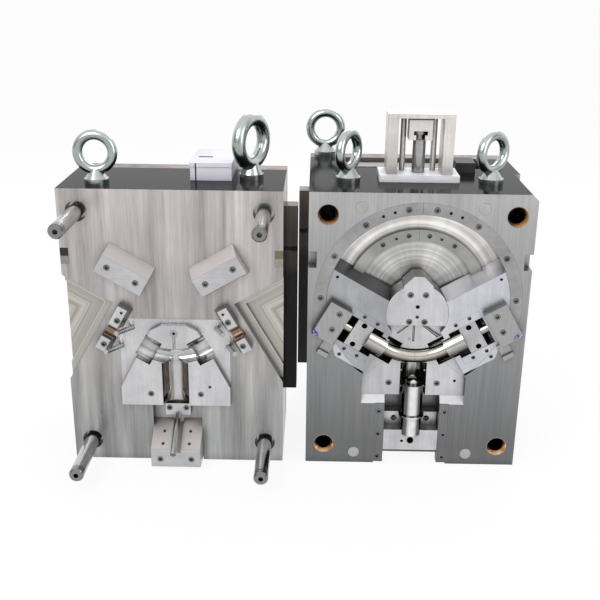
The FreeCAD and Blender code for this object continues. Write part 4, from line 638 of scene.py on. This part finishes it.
# Its flanks are painted dark: a painted shade.
slide_steel = milled_material("socket_slide", (0.58, 0.58, 0.59), (0.46, 0.46, 0.47), 0.30, UPRIGHT, 240.0,
                              (0.14, 0.14, 0.14))
wedge_steel = wedge_material()
gear_steel = milled_material("gear_steel", (0.36, 0.35, 0.33), (0.28, 0.27, 0.25), 0.34)
ring_steel = milled_material("ring_steel", (0.42, 0.42, 0.42), (0.34, 0.34, 0.34), 0.33, (1, 1, 1), 120.0,
                             low_end=(GIB_SPLIT, (0.58, 0.59, 0.61)))
gib_steel = milled_material("inner_gib", (0.42, 0.42, 0.41), (0.33, 0.33, 0.32), 0.33, (1, 1, 1), 120.0)
# For the polished pieces the colour given after the roughness is painted on their undersides: a painted shade
# and dark reflection.
pin_steel = polished_material("ground_pin", (0.56, 0.56, 0.56), 0.16, (0.14, 0.14, 0.135))
guide_steel = polished_material("guide_pin", (0.60, 0.60, 0.60), 0.17, (0.13, 0.13, 0.13), 0.2,
                                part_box("guide_pins")[0][1])
bend_steel = polished_material("bend_core", (0.70, 0.67, 0.60), 0.09, (0.075, 0.055, 0.04))
sleeve_steel = polished_material("socket_sleeve", (0.66, 0.65, 0.63), 0.13, (0.10, 0.095, 0.085))
# The branch core keeps its white only where it faces the front, as a painted highlight strip; its flanks are
# painted dark as painted reflections.
branch_steel = polished_material("branch_core", (0.84, 0.84, 0.84), 0.10, flank=(0.11, 0.12, 0.11))
return_steel = milled_material("return_pin", (0.52, 0.51, 0.49), (0.44, 0.43, 0.41), 0.36)
zinc = polished_material("zinc_plated", (0.56, 0.61, 0.59), 0.2, (0.18, 0.21, 0.20), 0.6)
bronze = bush_material()
side_lock_steel = side_lock_material()
copper_brown = milled_material("copper_brown", (0.40, 0.27, 0.20), (0.28, 0.18, 0.13), 0.30)
# The screw heads' flanks are painted nearly black and their edge lines drawn wide: a painted shade of the
# counterbore gap round each head.
screw_black = milled_material("blackened_screw", (0.30, 0.30, 0.30), (0.20, 0.20, 0.20), 0.28,
                              painted_flank=(0.04, 0.04, 0.04), seam=1.0, width=0.0026)
bracket_steel = milled_material("brushed_bracket", (0.86, 0.835, 0.80), (0.74, 0.72, 0.69), 0.36,
                                (1, 1, 0.06), 260.0)
base_steel = milled_material("bright_base", (0.92, 0.92, 0.96), (0.86, 0.86, 0.91), 0.45, LEVEL, 260.0,
                             metallic=0.0)
electric_box = box_material()

DRESS = {
    fixed_plate: ["fixed_cavity_plate", "fixed_backing_plate", "fixed_runner_plate"],
    moving_plate: ["core_plate", "support_plate", "spacer_blocks", "gear_hub", "ejector_plate",
                   "ejector_retainer_plate", "branch_rails"],
    clamp_steel: ["fixed_clamp_plate", "moving_clamp_plate"],
    cavity_steel: ["cavity_insert"],
    core_steel: ["core_sector", "core_insert"],
    insert_steel: ["socket_locks", "branch_pin_plate", "center_disc", "locating_ring", "branch_slide"],
    heel_steel: ["heel_blocks", "branch_heel_block"],
    carrier_left: ["carrier_left", "slide_strips_left"],
    carrier_right: ["carrier_right", "slide_strips_right"],
    slide_steel: ["socket_slide_left", "socket_slide_right"],
    wedge_steel: ["wedge_plate_left", "wedge_plate_right", "arc_stops"],
    gear_steel: ["gear_arm_left", "gear_arm_right", "pull_racks"],
    ring_steel: ["outer_ring_gibs"],
    gib_steel: ["inner_gibs"],
    guide_steel: ["guide_pins"],
    return_steel: ["return_pins"],
    pin_steel: ["socket_angle_pins", "branch_angle_pin", "ejector_pins", "support_pillars", "sprue_bush",
                "pull_rod"],
    branch_steel: ["branch_core"],
    bend_steel: ["curved_core_left", "curved_core_right"],
    sleeve_steel: ["socket_core_left", "socket_core_right"],
    zinc: ["eye_bolts"],
    bronze: ["guide_bushes"],
    side_lock_steel: ["fixed_side_locks"],
    copper_brown: ["lock_wear_pieces"],
    screw_black: ["plate_screws", "carrier_screws_left", "carrier_screws_right"],
    bracket_steel: ["bracket_posts", "pull_coupler"],
    base_steel: ["bracket_base"],
    electric_box: ["electric_boxes"],
}
for material, names in DRESS.items():
    for name in names:
        mesh = nodes[name].data
        mesh.materials.clear()
        mesh.materials.append(material)


# Floor, light and camera
def add_floor():
    bpy.ops.mesh.primitive_plane_add(size=60, location=(0, 0, -0.0005))
    floor = bpy.context.object
    floor.name = "floor"
    material, tree, shader = new_material("pale_floor")
    shader.inputs["Base Color"].default_value = (0.86, 0.86, 0.86, 1)
    shader.inputs["Roughness"].default_value = 0.9
    path = tree.nodes.new("ShaderNodeLightPath")
    glow = tree.nodes.new("ShaderNodeEmission")
    seen = math_node(tree, "MAXIMUM", path.outputs["Is Camera Ray"], path.outputs["Is Glossy Ray"])
    mix = tree.nodes.new("ShaderNodeMixShader")
    output = tree.nodes["Material Output"]
    link(tree, math_node(tree, "MULTIPLY", seen, 0.9), mix.inputs[0])
    link(tree, shader.outputs[0], mix.inputs[1])
    link(tree, glow.outputs[0], mix.inputs[2])
    link(tree, mix.outputs[0], output.inputs[0])
    floor.data.materials.append(material)


def add_world():
    """White behind the object; towards the viewer a bright ceiling over a darker room."""
    world = bpy.data.worlds.new("studio")
    bpy.context.scene.world = world
    world.use_nodes = True
    tree = world.node_tree
    background = tree.nodes["Background"]
    coords = tree.nodes.new("ShaderNodeTexCoord")
    split = tree.nodes.new("ShaderNodeSeparateXYZ")
    link(tree, coords.outputs["Generated"], split.inputs[0])
    ceiling = map_range(tree, split.outputs[2], -0.1, 0.55, 0.34, 1.0)
    sides = map_range(tree, math_node(tree, "ABSOLUTE", split.outputs[0]), 0.45, 0.95, 1.0, 0.6)
    room = math_node(tree, "MULTIPLY", ceiling, sides)
    path = tree.nodes.new("ShaderNodeLightPath")
    mirror = math_node(tree, "MAXIMUM", path.outputs["Is Glossy Ray"], path.outputs["Is Transmission Ray"])
    behind = map_range(tree, split.outputs[1], 0.0, 0.25)
    mirrored = math_node(tree, "MULTIPLY", mirror, behind)
    seen = math_node(tree, "MAXIMUM", path.outputs["Is Camera Ray"], mirrored)
    strength = tree.nodes.new("ShaderNodeMix")
    link(tree, seen, strength.inputs[0])
    link(tree, room, strength.inputs[2])
    strength.inputs[3].default_value = 1.0
    background.inputs[0].default_value = (1, 1, 1, 1)
    link(tree, strength.outputs[0], background.inputs[1])


def add_light(name, place, target, size, power):
    data = bpy.data.lights.new(name, "AREA")
    data.shape = "RECTANGLE"
    data.size, data.size_y = size
    data.energy = power
    lamp = bpy.data.objects.new(name, data)
    bpy.context.collection.objects.link(lamp)
    lamp.location = place
    aim = Vector(target) - Vector(place)
    lamp.rotation_euler = aim.to_track_quat("-Z", "Y").to_euler()


def add_camera():
    """Camera that was fitted to the photograph through the plates' corners and the guide pins."""
    focal_pixels, image_width, sensor = 911.483, 600.0, 36.0
    yaw, pitch, roll = (math.radians(a) for a in (0.873, 20.239, 0.611))
    side_step, stand_off, eye_height = 0.036078, 1.744952, 1.017644
    data = bpy.data.cameras.new("camera")
    data.sensor_width = sensor
    data.lens = focal_pixels / image_width * sensor
    camera = bpy.data.objects.new("camera", data)
    bpy.context.collection.objects.link(camera)
    forward = Vector((-math.sin(yaw) * math.cos(pitch), math.cos(yaw) * math.cos(pitch), -math.sin(pitch)))
    right = Vector((math.cos(yaw), math.sin(yaw), 0))
    up = right.cross(forward)
    turned_right = right * math.cos(roll) + up * math.sin(roll)
    turned_up = up * math.cos(roll) - right * math.sin(roll)
    matrix = Matrix((turned_right, turned_up, -forward)).transposed().to_4x4()
    matrix.translation = Vector((side_step, FACE_Y - stand_off, eye_height))
    camera.matrix_world = matrix
    bpy.context.scene.camera = camera


add_floor()
add_world()
add_light("key", (-1.6, -2.6, 2.6), (0, 0, 0.3), (2.2, 1.6), 60)
add_light("fill", (2.4, -2.0, 1.4), (0.1, 0, 0.3), (1.6, 2.2), 26)
add_light("rim", (0.4, 2.4, 2.2), (0, 0, 0.5), (2.4, 1.0), 26)
add_camera()
bpy.context.scene.view_settings.view_transform = "Standard"
